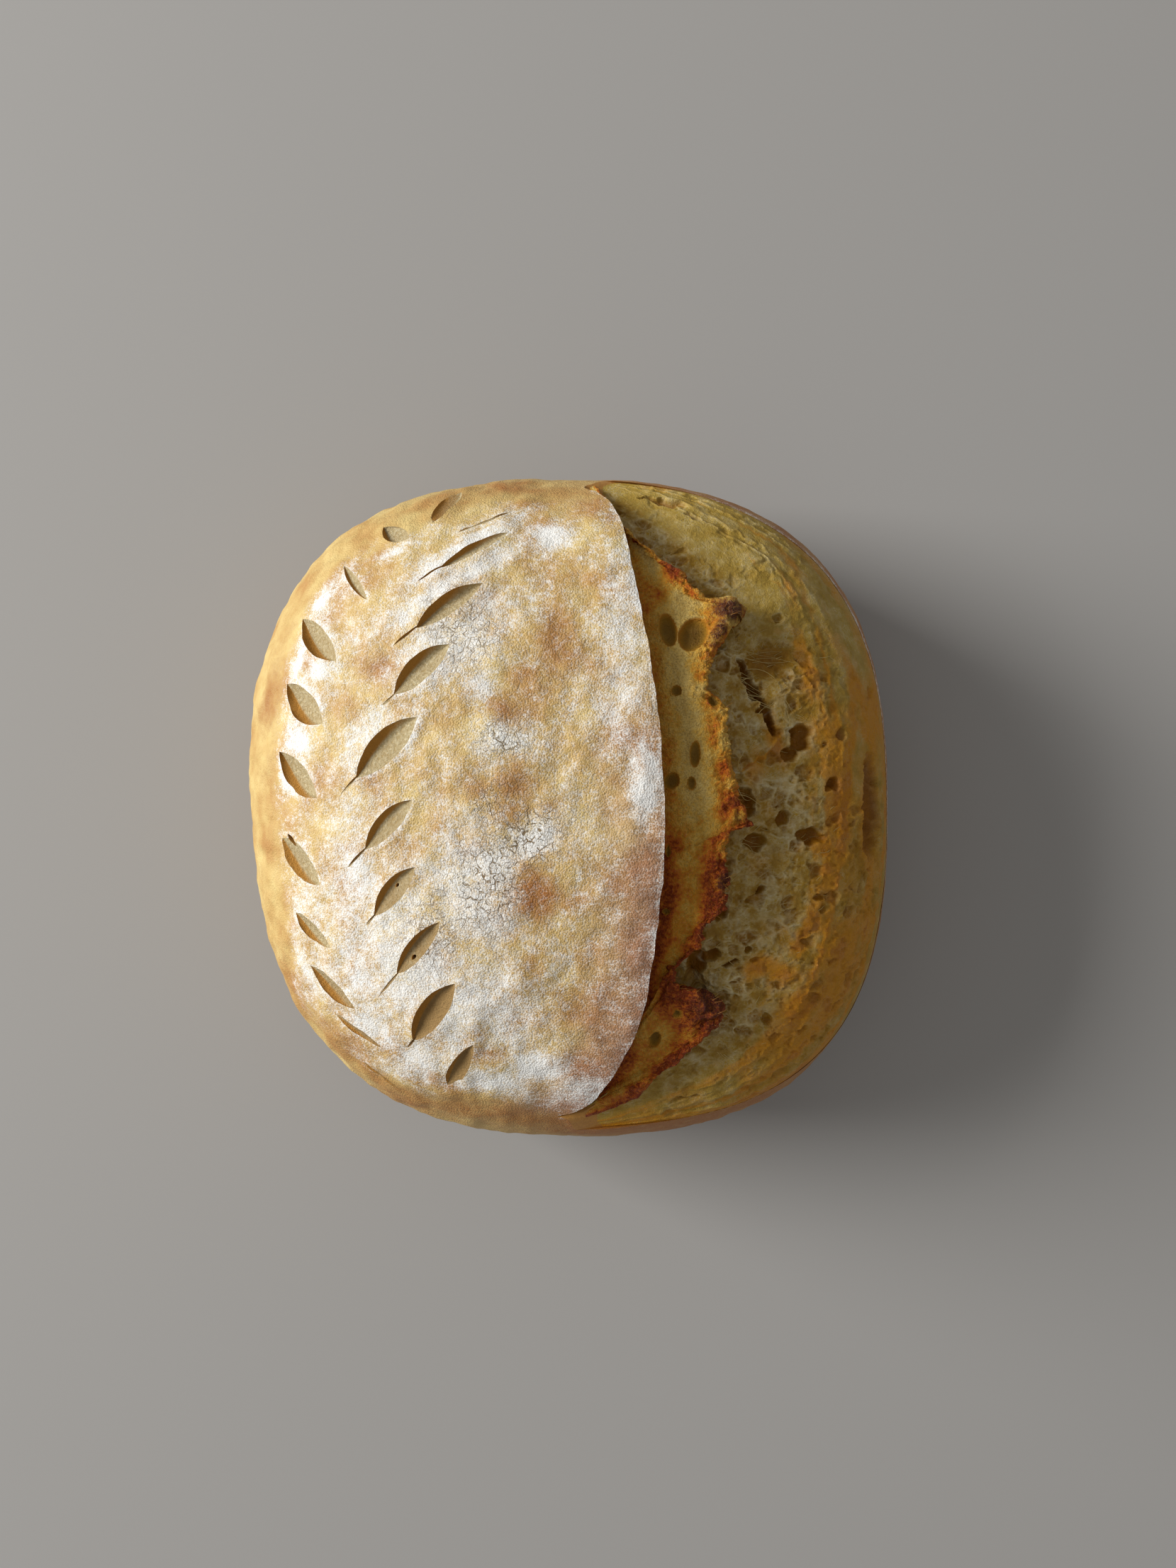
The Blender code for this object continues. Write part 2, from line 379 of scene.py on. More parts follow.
# The tear's cutter, round its section: (line, share of the way to the next line, sideways, drop) in mm.
# The lines are counted from the ear: 0 ear, 1 lip, 2 rim.
tear = {
    "section": [
        (0, 0.00, 0.8, -9.0),
        (0, 0.00, 0.1, 0.0),
        (0, 0.00, -0.3, 1.3),
        (0, 0.00, -3.0, 2.6),
        (0, 0.00, -6.6, 4.6),
        (0, 0.00, -8.2, 6.6),
        (0, 0.00, -7.6, 9.0),
        (0, 0.00, -4.0, 12.0),
        (0, 0.50, 0.0, 14.5),
        (0, 1.00, 0.0, 15.5),
        (1, 0.40, 0.0, 13.5),
        (1, 0.66, 0.0, 9.5),
        (1, 0.86, 0.0, 7.0),
        (2, 0.00, -1.6, 5.0),
        (2, 0.00, 0.0, 0.0),
        (2, 0.00, 0.6, -9.0),
        (1, 0.75, 0.0, -9.0),
        (1, 0.45, 0.0, -9.0),
        (1, 0.10, 0.0, -9.0),
        (0, 0.50, 0.0, -9.0),
    ],
    "rows": 260,
}


def tearPlan(line, across, share):  # plan position between two of the tear's lines
    lines = (earLine, lipLine, rimLine)
    point = curveAt(lines[line], share) * mm
    if line < 2:
        point = point + (curveAt(lines[line + 1], share) * mm - point) * across
    return point


def tearCutter(materials):
    section = tear["section"]
    cutter = startPiece("tearCutter", len(section), tear["rows"])
    points = pointsOf(cutter)
    columns = np.round((points[:, 0] + 1) / 2 * len(section)).astype(int) % len(section)
    way = (1 - points[:, 1]) / 2
    depth = tearDepth(way)
    slow = np.array([noise.noise(Vector((value * 34, 0.3, 0))) for value in way])
    quick = np.array([noise.noise(Vector((value * 130, 4.1, 0))) for value in way])
    wander = ear["wander"] * (slow + 0.5 * quick)
    for column, (line, across, sideways, drop) in enumerate(section):
        chosen = columns == column
        plan = tearPlan(line, across, way[chosen])
        onEar = line == 0 and across == 0
        share = depth[chosen] if drop >= 0 else 1  # what stands above the skin keeps its size at the ends
        plan[:, 0] += sideways * mm * share + wander[chosen] * onEar
        height = domeHeight(plan[:, 0], plan[:, 1]) + ear["endRise"] * (1 - depth[chosen])
        height += ear["lift"] * depth[chosen] * onEar - drop * mm * share
        points[chosen] = np.column_stack([plan, height])
    setPoints(cutter, points)
    bpy.ops.object.mode_set(mode="EDIT")
    bpy.ops.mesh.select_all(action="SELECT")
    bpy.ops.mesh.remove_doubles(threshold=1e-7)
    bpy.ops.mesh.select_all(action="DESELECT")
    bpy.ops.mesh.select_non_manifold()
    bpy.ops.mesh.edge_face_add()
    bpy.ops.object.mode_set(mode="OBJECT")
    return joinCutters([cutter], "tearCutter", cleftFinish, materials)


# The crust's mesh. Its three finishes are counted in the order of its materials.
skinFinish, cutFinish, cleftFinish = 0, 1, 2
crust = {
    "gridSteps": 286,
    "flankSpacing": 2.3,  # how much wider the spacing is on the flanks than on top
    "lumps": [(48, 0.9), (20, 0.6), (7, 0.65), (3.6, 0.32)],  # (size, height) in mm
    "rimRidge": 0.25 * mm,
    "ridgeReach": 1.5 * mm,
    # the skin is even where it tore and at the tear's ends: how even, and how far
    "calm": 0.92,
    "calmReach": 5 * mm,
    "endReach": 13 * mm,
    "baseInset": 0.97,
    "sharpAngle": 42,
}


def spreadSteps(values, steps):  # even steps from -1 to 1 become finer in the middle
    middles = np.abs((np.arange(steps) + 0.5) / steps * 2 - 1)
    spacing = 1 + (crust["flankSpacing"] - 1) * smooth(0.42, 0.75, middles)
    places = np.concatenate([[0], np.cumsum(spacing)])
    places = places / places[-1] * 2 - 1
    return places[np.round((values + 1) / 2 * steps).astype(int)]


def profileTable():  # length along the profile, share of the outline, height
    rise = np.linspace(0, np.pi / 2, 600)
    power = form["domePower"]
    shareUp = np.sin(rise) ** (2 / power)
    heightUp = form["widestHeight"] + form["domeRise"] * np.cos(rise) ** (2 / power)
    down = np.linspace(0, form["widestHeight"], 120)[1:]
    power = form["tuckPower"]
    shareDown = (1 - (down / form["tuckDepth"]) ** power) ** (1 / power)
    shares = np.concatenate([shareUp, shareDown])
    heights = np.concatenate([heightUp, form["widestHeight"] - down])
    lengths = np.hypot(np.diff(shares * form["halfWidth"]), np.diff(heights))
    return np.concatenate([[0], np.cumsum(lengths)]), shares, heights


def makeCrust(materials):
    steps = crust["gridSteps"]
    piece = startPiece("loafCrust", steps, steps)
    flat = pointsOf(piece)
    u, v = spreadSteps(flat[:, 0], steps), spreadSteps(flat[:, 1], steps)
    roundX, roundY = u * np.sqrt(1 - v**2 / 2), v * np.sqrt(1 - u**2 / 2)
    angle = np.arctan2(roundY, roundX)
    lengths, shares, heights = profileTable()
    along = np.minimum(np.hypot(roundX, roundY), 1) * lengths[-1]
    share = np.interp(along, lengths, shares)
    power = form["outlinePower"]
    cosine, sine = np.cos(angle), np.sin(angle)
    square = np.abs(cosine / form["halfWidth"]) ** power + np.abs(sine / form["halfLength"]) ** power
    radius = share * outlineReach(angle) / square ** (1 / power)
    points = np.column_stack([radius * cosine, radius * sine, np.interp(along, lengths, heights)])
    setPoints(piece, points)
    upper = smooth(0.3, 0.6, points[:, 2] / form["widestHeight"])
    relief = np.zeros(len(points))
    for seed, (size, height) in enumerate(crust["lumps"]):
        relief += noiseAt(points, size * mm, seed) * height * mm
    rimAway = lineAway(points, rimLine)
    calm = fade(rimAway, crust["calmReach"])
    for x, y in (earLine[0], earLine[-1]):
        endAway = np.hypot(points[:, 0] - x * mm, points[:, 1] - y * mm)
        calm = np.maximum(calm, fade(endAway, crust["endReach"]))
    relief *= upper * (1 - crust["calm"] * calm)
    top = points[:, 2] > form["widestHeight"]
    for leaf in allLeaves():
        width = leaf[3]
        if width < leaves["rimLeastWidth"]:
            continue
        distance = leafDistance(points[:, 0], points[:, 1], leaf)
        rise = leaves["rimRise"] * min(width / leaves["rimFullWidth"], 1)
        relief += top * rise * fade(distance, leaves["rimReach"])
    relief += top * crust["rimRidge"] * fade(rimAway, crust["ridgeReach"])
    points = points + normalsOf(piece) * relief[:, None]
    lift = earLift(points[:, 0], points[:, 1]) * top
    points[:, 2] += lift
    setPoints(piece, points)
    closeBelow(piece, 0.0, crust["baseInset"])
    for material in materials:
        piece.data.materials.append(material)
    cutAway(piece, tearCutter(materials))
    # the wall at the rim is floury skin, not toasted like the cleft under the ear
    lipMiddle = curveAt(lipLine, np.array([0.5]))[0, 0] * mm
    for face in piece.data.polygons:
        if face.material_index == cleftFinish and face.center.x > lipMiddle:
            face.material_index = skinFinish
    print("crust: tear cut")
    cutters, stems, pits = [], [], []
    for x, y, length, width, degrees, stem, steep in allLeaves():
        share, mesh = leaves["depthShare"], leaves["leafMesh"]
        cutters.append(leafCutter(x, y, length, width, degrees, steep, share, mesh))
        if stem:
            overlap, share, mesh = leaves["stemOverlap"], leaves["stemDepthShare"], leaves["stemMesh"]
            reach = (length + stem - overlap) / 2
            stemX = x - math.cos(math.radians(degrees)) * reach
            stemY = y - math.sin(math.radians(degrees)) * reach
            stems.append(
                leafCutter(stemX, stemY, stem + overlap, leaves["stemWidth"], degrees, steep, share, mesh)
            )
    cutAway(piece, joinCutters(cutters, "leafCutter", cutFinish, materials))
    cutAway(piece, joinCutters(stems, "stemCutter", cutFinish, materials))
    for x, y, length, width, degrees, share in leaves["pits"]:
        pits.append(leafCutter(x, y, length, width, degrees, 1, share, leaves["pitMesh"]))
    cutAway(piece, joinCutters(pits, "pitCutter", cutFinish, materials))
    print("crust: leaves cut")
    return piece


# The flour on the crust, and the browned and cracked places in it.
flour = {
    # drifts of flour: (x, y, half length, half width, direction in degrees, strength), in mm
    "drifts": [
        (-4.9, 84.9, 6, 4.5, 10, 1.0),
        (-31, 81, 19, 2.6, 34, 0.8),
        (-27, 74, 15, 3.0, 30, 0.7),
        (-39, 66, 15, 2.6, 36, 0.8),
        (-33, 52, 12, 10, 40, 0.55),
        (-25, 37, 4, 3.5, 0, 0.9),
        (-48, 47, 12, 3, 42, 0.6),
        (-60, 22, 11, 5, 52, 0.65),
        (-18, 21, 7, 6, 0, 0.75),
        (-78, 66, 9, 2.6, 58, 1.0),
        (-85, 48, 7, 1.6, 80, 0.9),
        (-76, 43, 4.5, 3.5, 0, 0.7),
        (-83, 21, 5, 4, 90, 0.75),
        (-87, 12, 8, 2, -60, 0.8),
        (-55, 80, 2.4, 2.2, 0, 0.7),
        (-63, 84, 1.6, 1.4, 0, 0.7),
        (-42, 90, 2.4, 2.0, 0, 0.7),
        (-10, -8, 6, 5, 20, 0.95),
        (-44, -48, 32, 24, -60, 0.58),
        (-26, -22, 18, 16, 0, 0.52),
        (-80, -50, 14, 5, -60, 0.5),
        (-21, -17, 9, 7, 40, 0.85),
        (-28, -28, 11, 13, 0, 0.75),
        (-40, -43, 9, 14, -20, 0.7),
        (-61, -20, 6, 12, 10, 0.6),
        (-64, -45, 5, 14, 30, 0.7),
        (-58, -68, 9, 6, -30, 0.75),
        (-46, -76, 9, 6, -10, 0.7),
        (-24, -84, 14, 4, 5, 0.75),
        (-8, -78, 8, 4.5, 10, 0.95),
        (5, -87, 8, 5, -20, 0.6),
        (21.5, 4, 3.2, 6, 8, 0.85),
        (19, 14, 2.2, 3.5, 20, 0.6),
        (-86, -58, 8, 10, 30, 0.45),
        (15, 28, 5, 14, 0, 0.45),
        (18, 52, 4.5, 14, 12, 0.5),
        (21, 62, 2.5, 9, 10, 0.55),
        (24, 14, 2.5, 10, 0, 0.7),
    ],
    "patches": [(16, 0.22, 12), (6, 0.20, 13), (2.6, 0.12, 15)],  # (size in mm, strength, seed)
    "wobble": (9, 3, 11),  # how the outlines of the places below wander: (size in mm, reach in mm, seed)
    "base": 0.17,  # the dusting over the whole floured face
    "least": 0.09,  # what is left on the barest places
    "driftShare": 0.88,
    "brownShare": 0.34,  # how much of the dusting the browned places lose
    "leafRing": 0.36,
    "ringReach": 1.0 * mm,
    # where the thick flour cracked as the crust spread
    "cracked": [
        (-31, 54, 9, 12, 30, 0.7), (-18, 21, 7, 6, 0, 1.0), (-12, -8, 11, 8, 30, 1.0),
        (-23, -22, 10, 13, 0, 1.0), (-40, -36, 8, 13, -20, 0.75), (-36, 66, 12, 3, 35, 0.5),
        (-60, 12, 7, 5, 50, 0.5), (-22, 2, 7, 8, 0, 0.7),
    ],
    "browned": [
        (-57, 43.5, 7, 5, 30, 0.8),
        (-2.5, 50, 4, 10, 0, 0.8),
        (-9.8, 42, 5, 4, 0, 0.5),
        (-17.6, 29, 6, 5, 0, 0.75),
        (-15, 7, 5, 9, 0, 0.7),
        (-26, 5.8, 4, 3, 0, 0.5),
        (-95.6, 36, 3.5, 9, -10, 0.8),
        (-94, 12, 3, 6, 0, 0.4),
        (-20, 107, 7, 3, -8, 0.9),
        (6.3, 95.3, 6, 3, -20, 0.6),
        (-9, -26, 6.5, 9, 0, 1.0),
        (-27, -67, 5, 4, 20, 0.7),
        (-24, -75, 5, 3.5, 0, 0.8),
        (-39, -69.5, 3, 4, 0, 0.5),
        (4.5, -77, 7, 5, 0, 0.7),
        (23, -18, 4, 9, 0, 0.6),
        (20, -36, 4, 14, 5, 0.6),
        (13, 20, 5, 10, 0, 0.4),
        (12, -60, 9, 10, 0, 0.45),
        (-72, -62, 6, 5, 0, 0.4),
        (-30, -97, 46, 6, -3, 0.75),
        (12, -104, 30, 5, 8, 0.6),
        (-72, -76, 20, 7, -42, 0.6),
        (-88, -60, 8, 14, 30, 0.45),
    ],
    # where the dusting ends: the floured face lies inside this outline, in mm
    "edge": [
        (8, 97), (-6, 96), (-22, 98), (-38, 92), (-52, 84), (-68, 80), (-80, 66), (-88, 46), (-91, 20),
        (-90, -8), (-87, -34), (-88, -55), (-82, -68), (-66, -82), (-48, -89), (-31, -89.5), (-14, -91),
        (3, -99), (30, -99), (40, 0), (30, 100),
    ],
    "edgeSoftness": 3.5,
}


def ovalField(points, oval):  # 0 at the middle of an oval, 1 on its edge
    x, y, halfLength, halfWidth, degrees = oval[:5]  # in mm
    turn = math.radians(degrees)
    stepX, stepY = points[:, 0] / mm - x, points[:, 1] / mm - y
    along = (stepX * math.cos(turn) + stepY * math.sin(turn)) / halfLength
    across = (stepY * math.cos(turn) - stepX * math.sin(turn)) / halfWidth
    return np.hypot(along, across)


def spotField(points, spots):  # the strongest of several soft oval spots at each point
    field = np.zeros(len(points))
    for *oval, strength in spots:
        field = np.maximum(field, strength * np.exp(-0.7 * ovalField(points, oval) ** 2.2))
    return field


def insideOutline(points, outline, softness):  # 1 inside a closed outline, 0 outside, soft at the edge
    corners = np.array(outline, float)
    x, y = points[:, 0] / mm, points[:, 1] / mm
    inside = np.zeros(len(x), bool)
    away = np.full(len(x), 1e9)
    for (startX, startY), (endX, endY) in zip(corners, np.roll(corners, -1, axis=0)):
        crosses = ((startY > y) != (endY > y)) & (
            x < (endX - startX) * (y - startY) / (endY - startY + 1e-12) + startX
        )
        inside ^= crosses
        length = (endX - startX) ** 2 + (endY - startY) ** 2
        share = np.clip(((x - startX) * (endX - startX) + (y - startY) * (endY - startY)) / length, 0, 1)
        nearX, nearY = startX + share * (endX - startX), startY + share * (endY - startY)
        away = np.minimum(away, np.hypot(x - nearX, y - nearY))
    return smooth(-softness, softness, np.where(inside, away, -away))


def lineAway(points, line):  # plan distance to one of the tear's lines, without its ends
    away = np.full(len(points), 1.0)
    for x, y in curveAt(line, np.linspace(0.03, 0.97, 160)):
        away = np.minimum(away, np.hypot(points[:, 0] - x * mm, points[:, 1] - y * mm))
    return away


def paintCrust(piece):
    points = pointsOf(piece)
    x, y, level = points[:, 0] / mm, points[:, 1] / mm, points[:, 2] / form["widestHeight"]
    top = smooth(0.9, 1.25, level)
    size, reach, seed = flour["wobble"]
    wobbled = points + (noiseAt(points, size * mm, seed) * reach * mm)[:, None]
    face = insideOutline(wobbled, flour["edge"], flour["edgeSoftness"])
    drifts = spotField(wobbled, flour["drifts"])
    for leaf in allLeaves():
        distance = leafDistance(points[:, 0], points[:, 1], leaf)
        drifts = np.maximum(drifts, flour["leafRing"] * fade(distance, flour["ringReach"]))
    # flour caught along the rim and along the ear's edge
    rimAway, earAway = lineAway(points, rimLine), lineAway(points, earLine)
    rimFlour = (0.42 + 0.3 * noiseAt(points, 8 * mm, 17)) * fade(rimAway, 1.3 * mm)
    rimFlour *= smooth(-60, 30, y) * smooth(30, 60, x) * top
    earFlour = (0.22 + 0.4 * noiseAt(points, 5 * mm, 18)) * fade(earAway, 1.1 * mm) * (level > 1)
    patches = sum(height * noiseAt(points, size * mm, seed) for size, height, seed in flour["patches"])
    brownSpots = spotField(wobbled, flour["browned"])
    dusting = flour["base"] + patches + flour["driftShare"] * drifts - flour["brownShare"] * brownSpots
    dusting = np.maximum(dusting, flour["least"])
    setAttribute(piece, "flour", face * dusting * top + rimFlour + earFlour)
    # browner in spots, below the rim and towards the outline on the torn side
    browned = brownSpots + 0.24 * noiseAt(points, 11 * mm, 14) + 0.5 * fade(rimAway, 16 * mm)
    browned += 0.4 * smooth(0.80, 0.95, outlineShare(points[:, 0], points[:, 1])) * smooth(10, 40, x)
    setAttribute(piece, "browned", browned)
    setAttribute(piece, "cracked", spotField(wobbled, flour["cracked"]))
    blushed = 0.95 * (1 - earAway / (24 * mm)) * smooth(70, -30, y) * smooth(-100, -92, y) * top
    setAttribute(piece, "blushed", blushed)
    # painted shade: the cut dough darker and browner in the near half and near the left flank, where the
    # leaves face away from the light
    nearLeafShade = 0.1 + 0.6 * smooth(15, -45, y) * smooth(-72, -58, x) + 0.4 * smooth(-45, -65, y)
    setAttribute(piece, "nearLeafShade", nearLeafShade + 0.3 * noiseAt(points, 4 * mm, 16))
    # how far each normal leans towards +X from the dome's own, which tells the leaves' steep walls; these
    # face away from the lamp, and cutDough paints them amber, partly as painted shade
    slopeX, slopeY = domeSlopes(points[:, 0], points[:, 1])
    domeLean = -slopeX / np.sqrt(1 + slopeX**2 + slopeY**2)
    setAttribute(piece, "wall", 0.5 + 0.5 * (normalsOf(piece)[:, 0] - domeLean))
    setAttribute(piece, "under", 0.32 * smooth(1.1, 0.6, level) + 0.53 * smooth(0.75, 0.05, level))
    print("crust: painted")


# The torn lip: the stretched strip between the ear and the crumb, with its ragged edge.
lip = {
    # the torn edge as (y, x) in mm, from the far end to the near end
    "edge": [
        (110, 7), (91, 15), (87, 19), (82, 23), (76, 30), (73, 34), (68, 38), (64.5, 41), (63, 47),
        (61, 52), (58, 50), (54, 46.5), (49, 44), (42, 42), (36, 41.5), (34, 45), (31, 48), (26, 47),
        (20, 48), (12, 49), (6, 50), (0, 52), (-4, 55), (-6, 48), (-12, 47), (-20, 48), (-27, 47),
        (-31, 44), (-35, 40), (-41, 39), (-44, 34), (-47, 31), (-52, 31.5), (-54.5, 37), (-56, 44),
        (-60, 47), (-66, 45.5), (-70, 40.5), (-74, 36), (-79, 32), (-84, 27), (-90, 22), (-95, 13),
        (-98, 6), (-101, 0),
    ],
    # across the strip: (share of the way from ear to edge, sideways, drop), in mm
    "section": [
        (0.00, -10.0, 8.6),
        (0.00, -6.5, 7.6),
        (0.00, -3.0, 6.8),
        (0.00, 0.6, 6.2),
        (0.18, 0.0, 5.4),
        (0.36, 0.0, 4.6),
        (0.54, 0.0, 3.8),
        (0.72, 0.0, 3.0),
        (0.88, 0.0, 2.3),
        (0.98, 0.0, 1.9),
        (1.00, 0.7, 2.6),
        (1.00, 0.1, 4.0),
        (1.00, -1.6, 6.0),
        (1.00, -2.6, 9.0),
        (1.00, -3.0, 13.5),
    ],
    "columns": 118,
    "rows": 560,
    "skirt": 40 * mm,  # the level at which the piece is closed, inside the loaf
    "lumps": [(9, 0.7, 21), (3.2, 0.5, 22), (1.1, 0.22, 23)],  # (size in mm, height in mm, seed)
    # raised or toasted places: (x, y, half length, half width, direction); the burnt have a strength too
    "tips": [(49, 60.5, 5.5, 3.4, -10), (46, 54, 5, 2.0, 65)],  # the curled tip, and the ridge up to it
    "tipRise": 3.4,
    "nearFlap": (43, -58, 8, 6, 70),
    "farToast": (33, 74, 4, 14, -40),
    "nearToast": (45, -55, 7, 5, 70),
    "burnt": [
        (49.5, 61, 6, 4, -10, 1.1), (46, 54, 6.5, 2.2, 62, 1.0), (47, -21, 3.5, 2.6, 60, 1.0),
        (51, -2, 3, 2, 90, 0.6), (43, -58, 8, 6, 70, 0.95), (48, 8, 3, 2, 90, 0.5),
        (41, -33, 4, 2, 60, 0.4), (36, -58, 3, 2, 0, 0.5),
    ],
    # bubbles torn open in the strip: (x, y, half length, half width, direction, depth)
    "windows": [
        (30.8, 54.5, 5.2, 2.7, 100, 1.9),
        (38.3, 53.2, 5.6, 4.2, 62, 2.2),
        (38.5, 17, 4.0, 1.6, 88, 1.1),
        (31.5, 9, 2.6, 2.2, 60, 1.1),
        (37.4, 8.3, 2.0, 1.2, 90, 0.8),
        (33, 36, 1.6, 1.6, 0, 0.8),
        (44.5, 33, 1.8, 2.0, 90, 1.4),
        (27.1, -70, 1.7, 2.6, -10, 1.5),
        (33.6, -61.3, 1.4, 1.0, 0, 1.0),
        (30.5, -12, 0.6, 1.8, 0, 0.8),
        (30, -30, 1.2, 0.9, 0, 0.8),
        (44, -35, 2.2, 1.4, 40, 1.0),
    ],
    "sharpAngle": 60,
}


def raggedEdge(share):  # plan position of the torn edge for each share along the tear
    alongY = curveAt(lipLine, share)[:, 1]
    edge = np.array(lip["edge"], float)[::-1]
    x = np.interp(alongY, edge[:, 0], edge[:, 1])
    for wave, height, seed in ((4.0, 1.0, 1), (1.5, 0.6, 2), (0.6, 0.35, 3)):
        x += height * np.array([noise.noise(Vector((value / wave, seed * 5.5, 0))) for value in alongY])
    return np.column_stack([x, alongY]) * mm


def makeLip(material):
    piece = startPiece("tornLip", lip["columns"], lip["rows"])
    flat = pointsOf(piece)
    place, share = (flat[:, 0] + 1) / 2, (1 - flat[:, 1]) / 2
    section = curveAt(lip["section"], place)
    depth = tearDepth(share)
    earPlan, edgePlan = curveAt(earLine, share) * mm, raggedEdge(share)
    plan = earPlan + (edgePlan - earPlan) * section[:, :1]
    plan[:, 0] += section[:, 1] * mm * depth
    height = domeHeight(plan[:, 0], plan[:, 1]) - section[:, 2] * mm * depth - ear["endSink"] * (1 - depth)
    points = np.column_stack([plan, height])
    setPoints(piece, points)
    onTop = smooth(0.72, 0.66, place)
    nearEdge = smooth(0.41, 0.57, place)
    y = points[:, 1] / mm
    relief = sum(rise * noiseAt(points, size * mm, seed) for size, rise, seed in lip["lumps"])
    relief += 1.6 * smooth(-46, -54, y) * nearEdge * noiseAt(points, 3.4 * mm, 29)
    relief += nearEdge * (noiseAt(points, 2.0 * mm, 24) * 0.8 + np.abs(noiseAt(points, 1.0 * mm, 25)) * 0.9)
    curl, ridge = (fade(ovalField(points, oval), 1) for oval in lip["tips"])
    relief += (curl + 0.7 * ridge) * lip["tipRise"] * smooth(0.2, 0.5, place)
    flap = fade(ovalField(points, lip["nearFlap"]), 1)
    relief += (1.2 + 1.4 * noiseAt(points, 2.6 * mm, 19)) * flap * onTop
    opened = np.zeros(len(points))
    for window in lip["windows"]:
        inside = ovalField(points, window)
        bowl = np.clip(1 - inside**2.6, 0, 1) ** 0.5
        relief -= window[5] * bowl * onTop
        relief += 0.35 * fade(inside - 1.05, 0.16) * onTop
        opened = np.maximum(opened, bowl * onTop)
    points = points + normalsOf(piece) * (relief * mm * np.minimum(depth * 1.5, 1))[:, None]
    setPoints(piece, points)
    setAttribute(piece, "window", opened)
    y = points[:, 1] / mm
    lower = smooth(12, -22, y)
    toast = nearEdge * (0.52 + 0.5 * noiseAt(points, 6 * mm, 26))
    toast += 0.48 * lower + 0.25 * noiseAt(points, 4 * mm, 27)
    toast += 0.5 * fade(ovalField(points, lip["farToast"]), 1)
    toast += 0.42 * fade(ovalField(points, lip["nearToast"]), 1)
    # darker orange brown along the ear side of the strip, in the cleft under the ear: partly toasting,
    # partly painted shade
    toast += 0.45 * smooth(0.40, 0.24, place)
    setAttribute(piece, "toast", toast * smooth(1.0, 0.72, place) + 0.35 * smooth(0.7, 0.75, place))
    burnt = spotField(points, lip["burnt"]) + 0.2 * nearEdge * noiseAt(points, 2 * mm, 28)
    setAttribute(piece, "burnt", burnt)
    closeBelow(piece, lip["skirt"])
    piece.data.materials.append(material)
    finishPiece(piece, lip["sharpAngle"])
    return piece


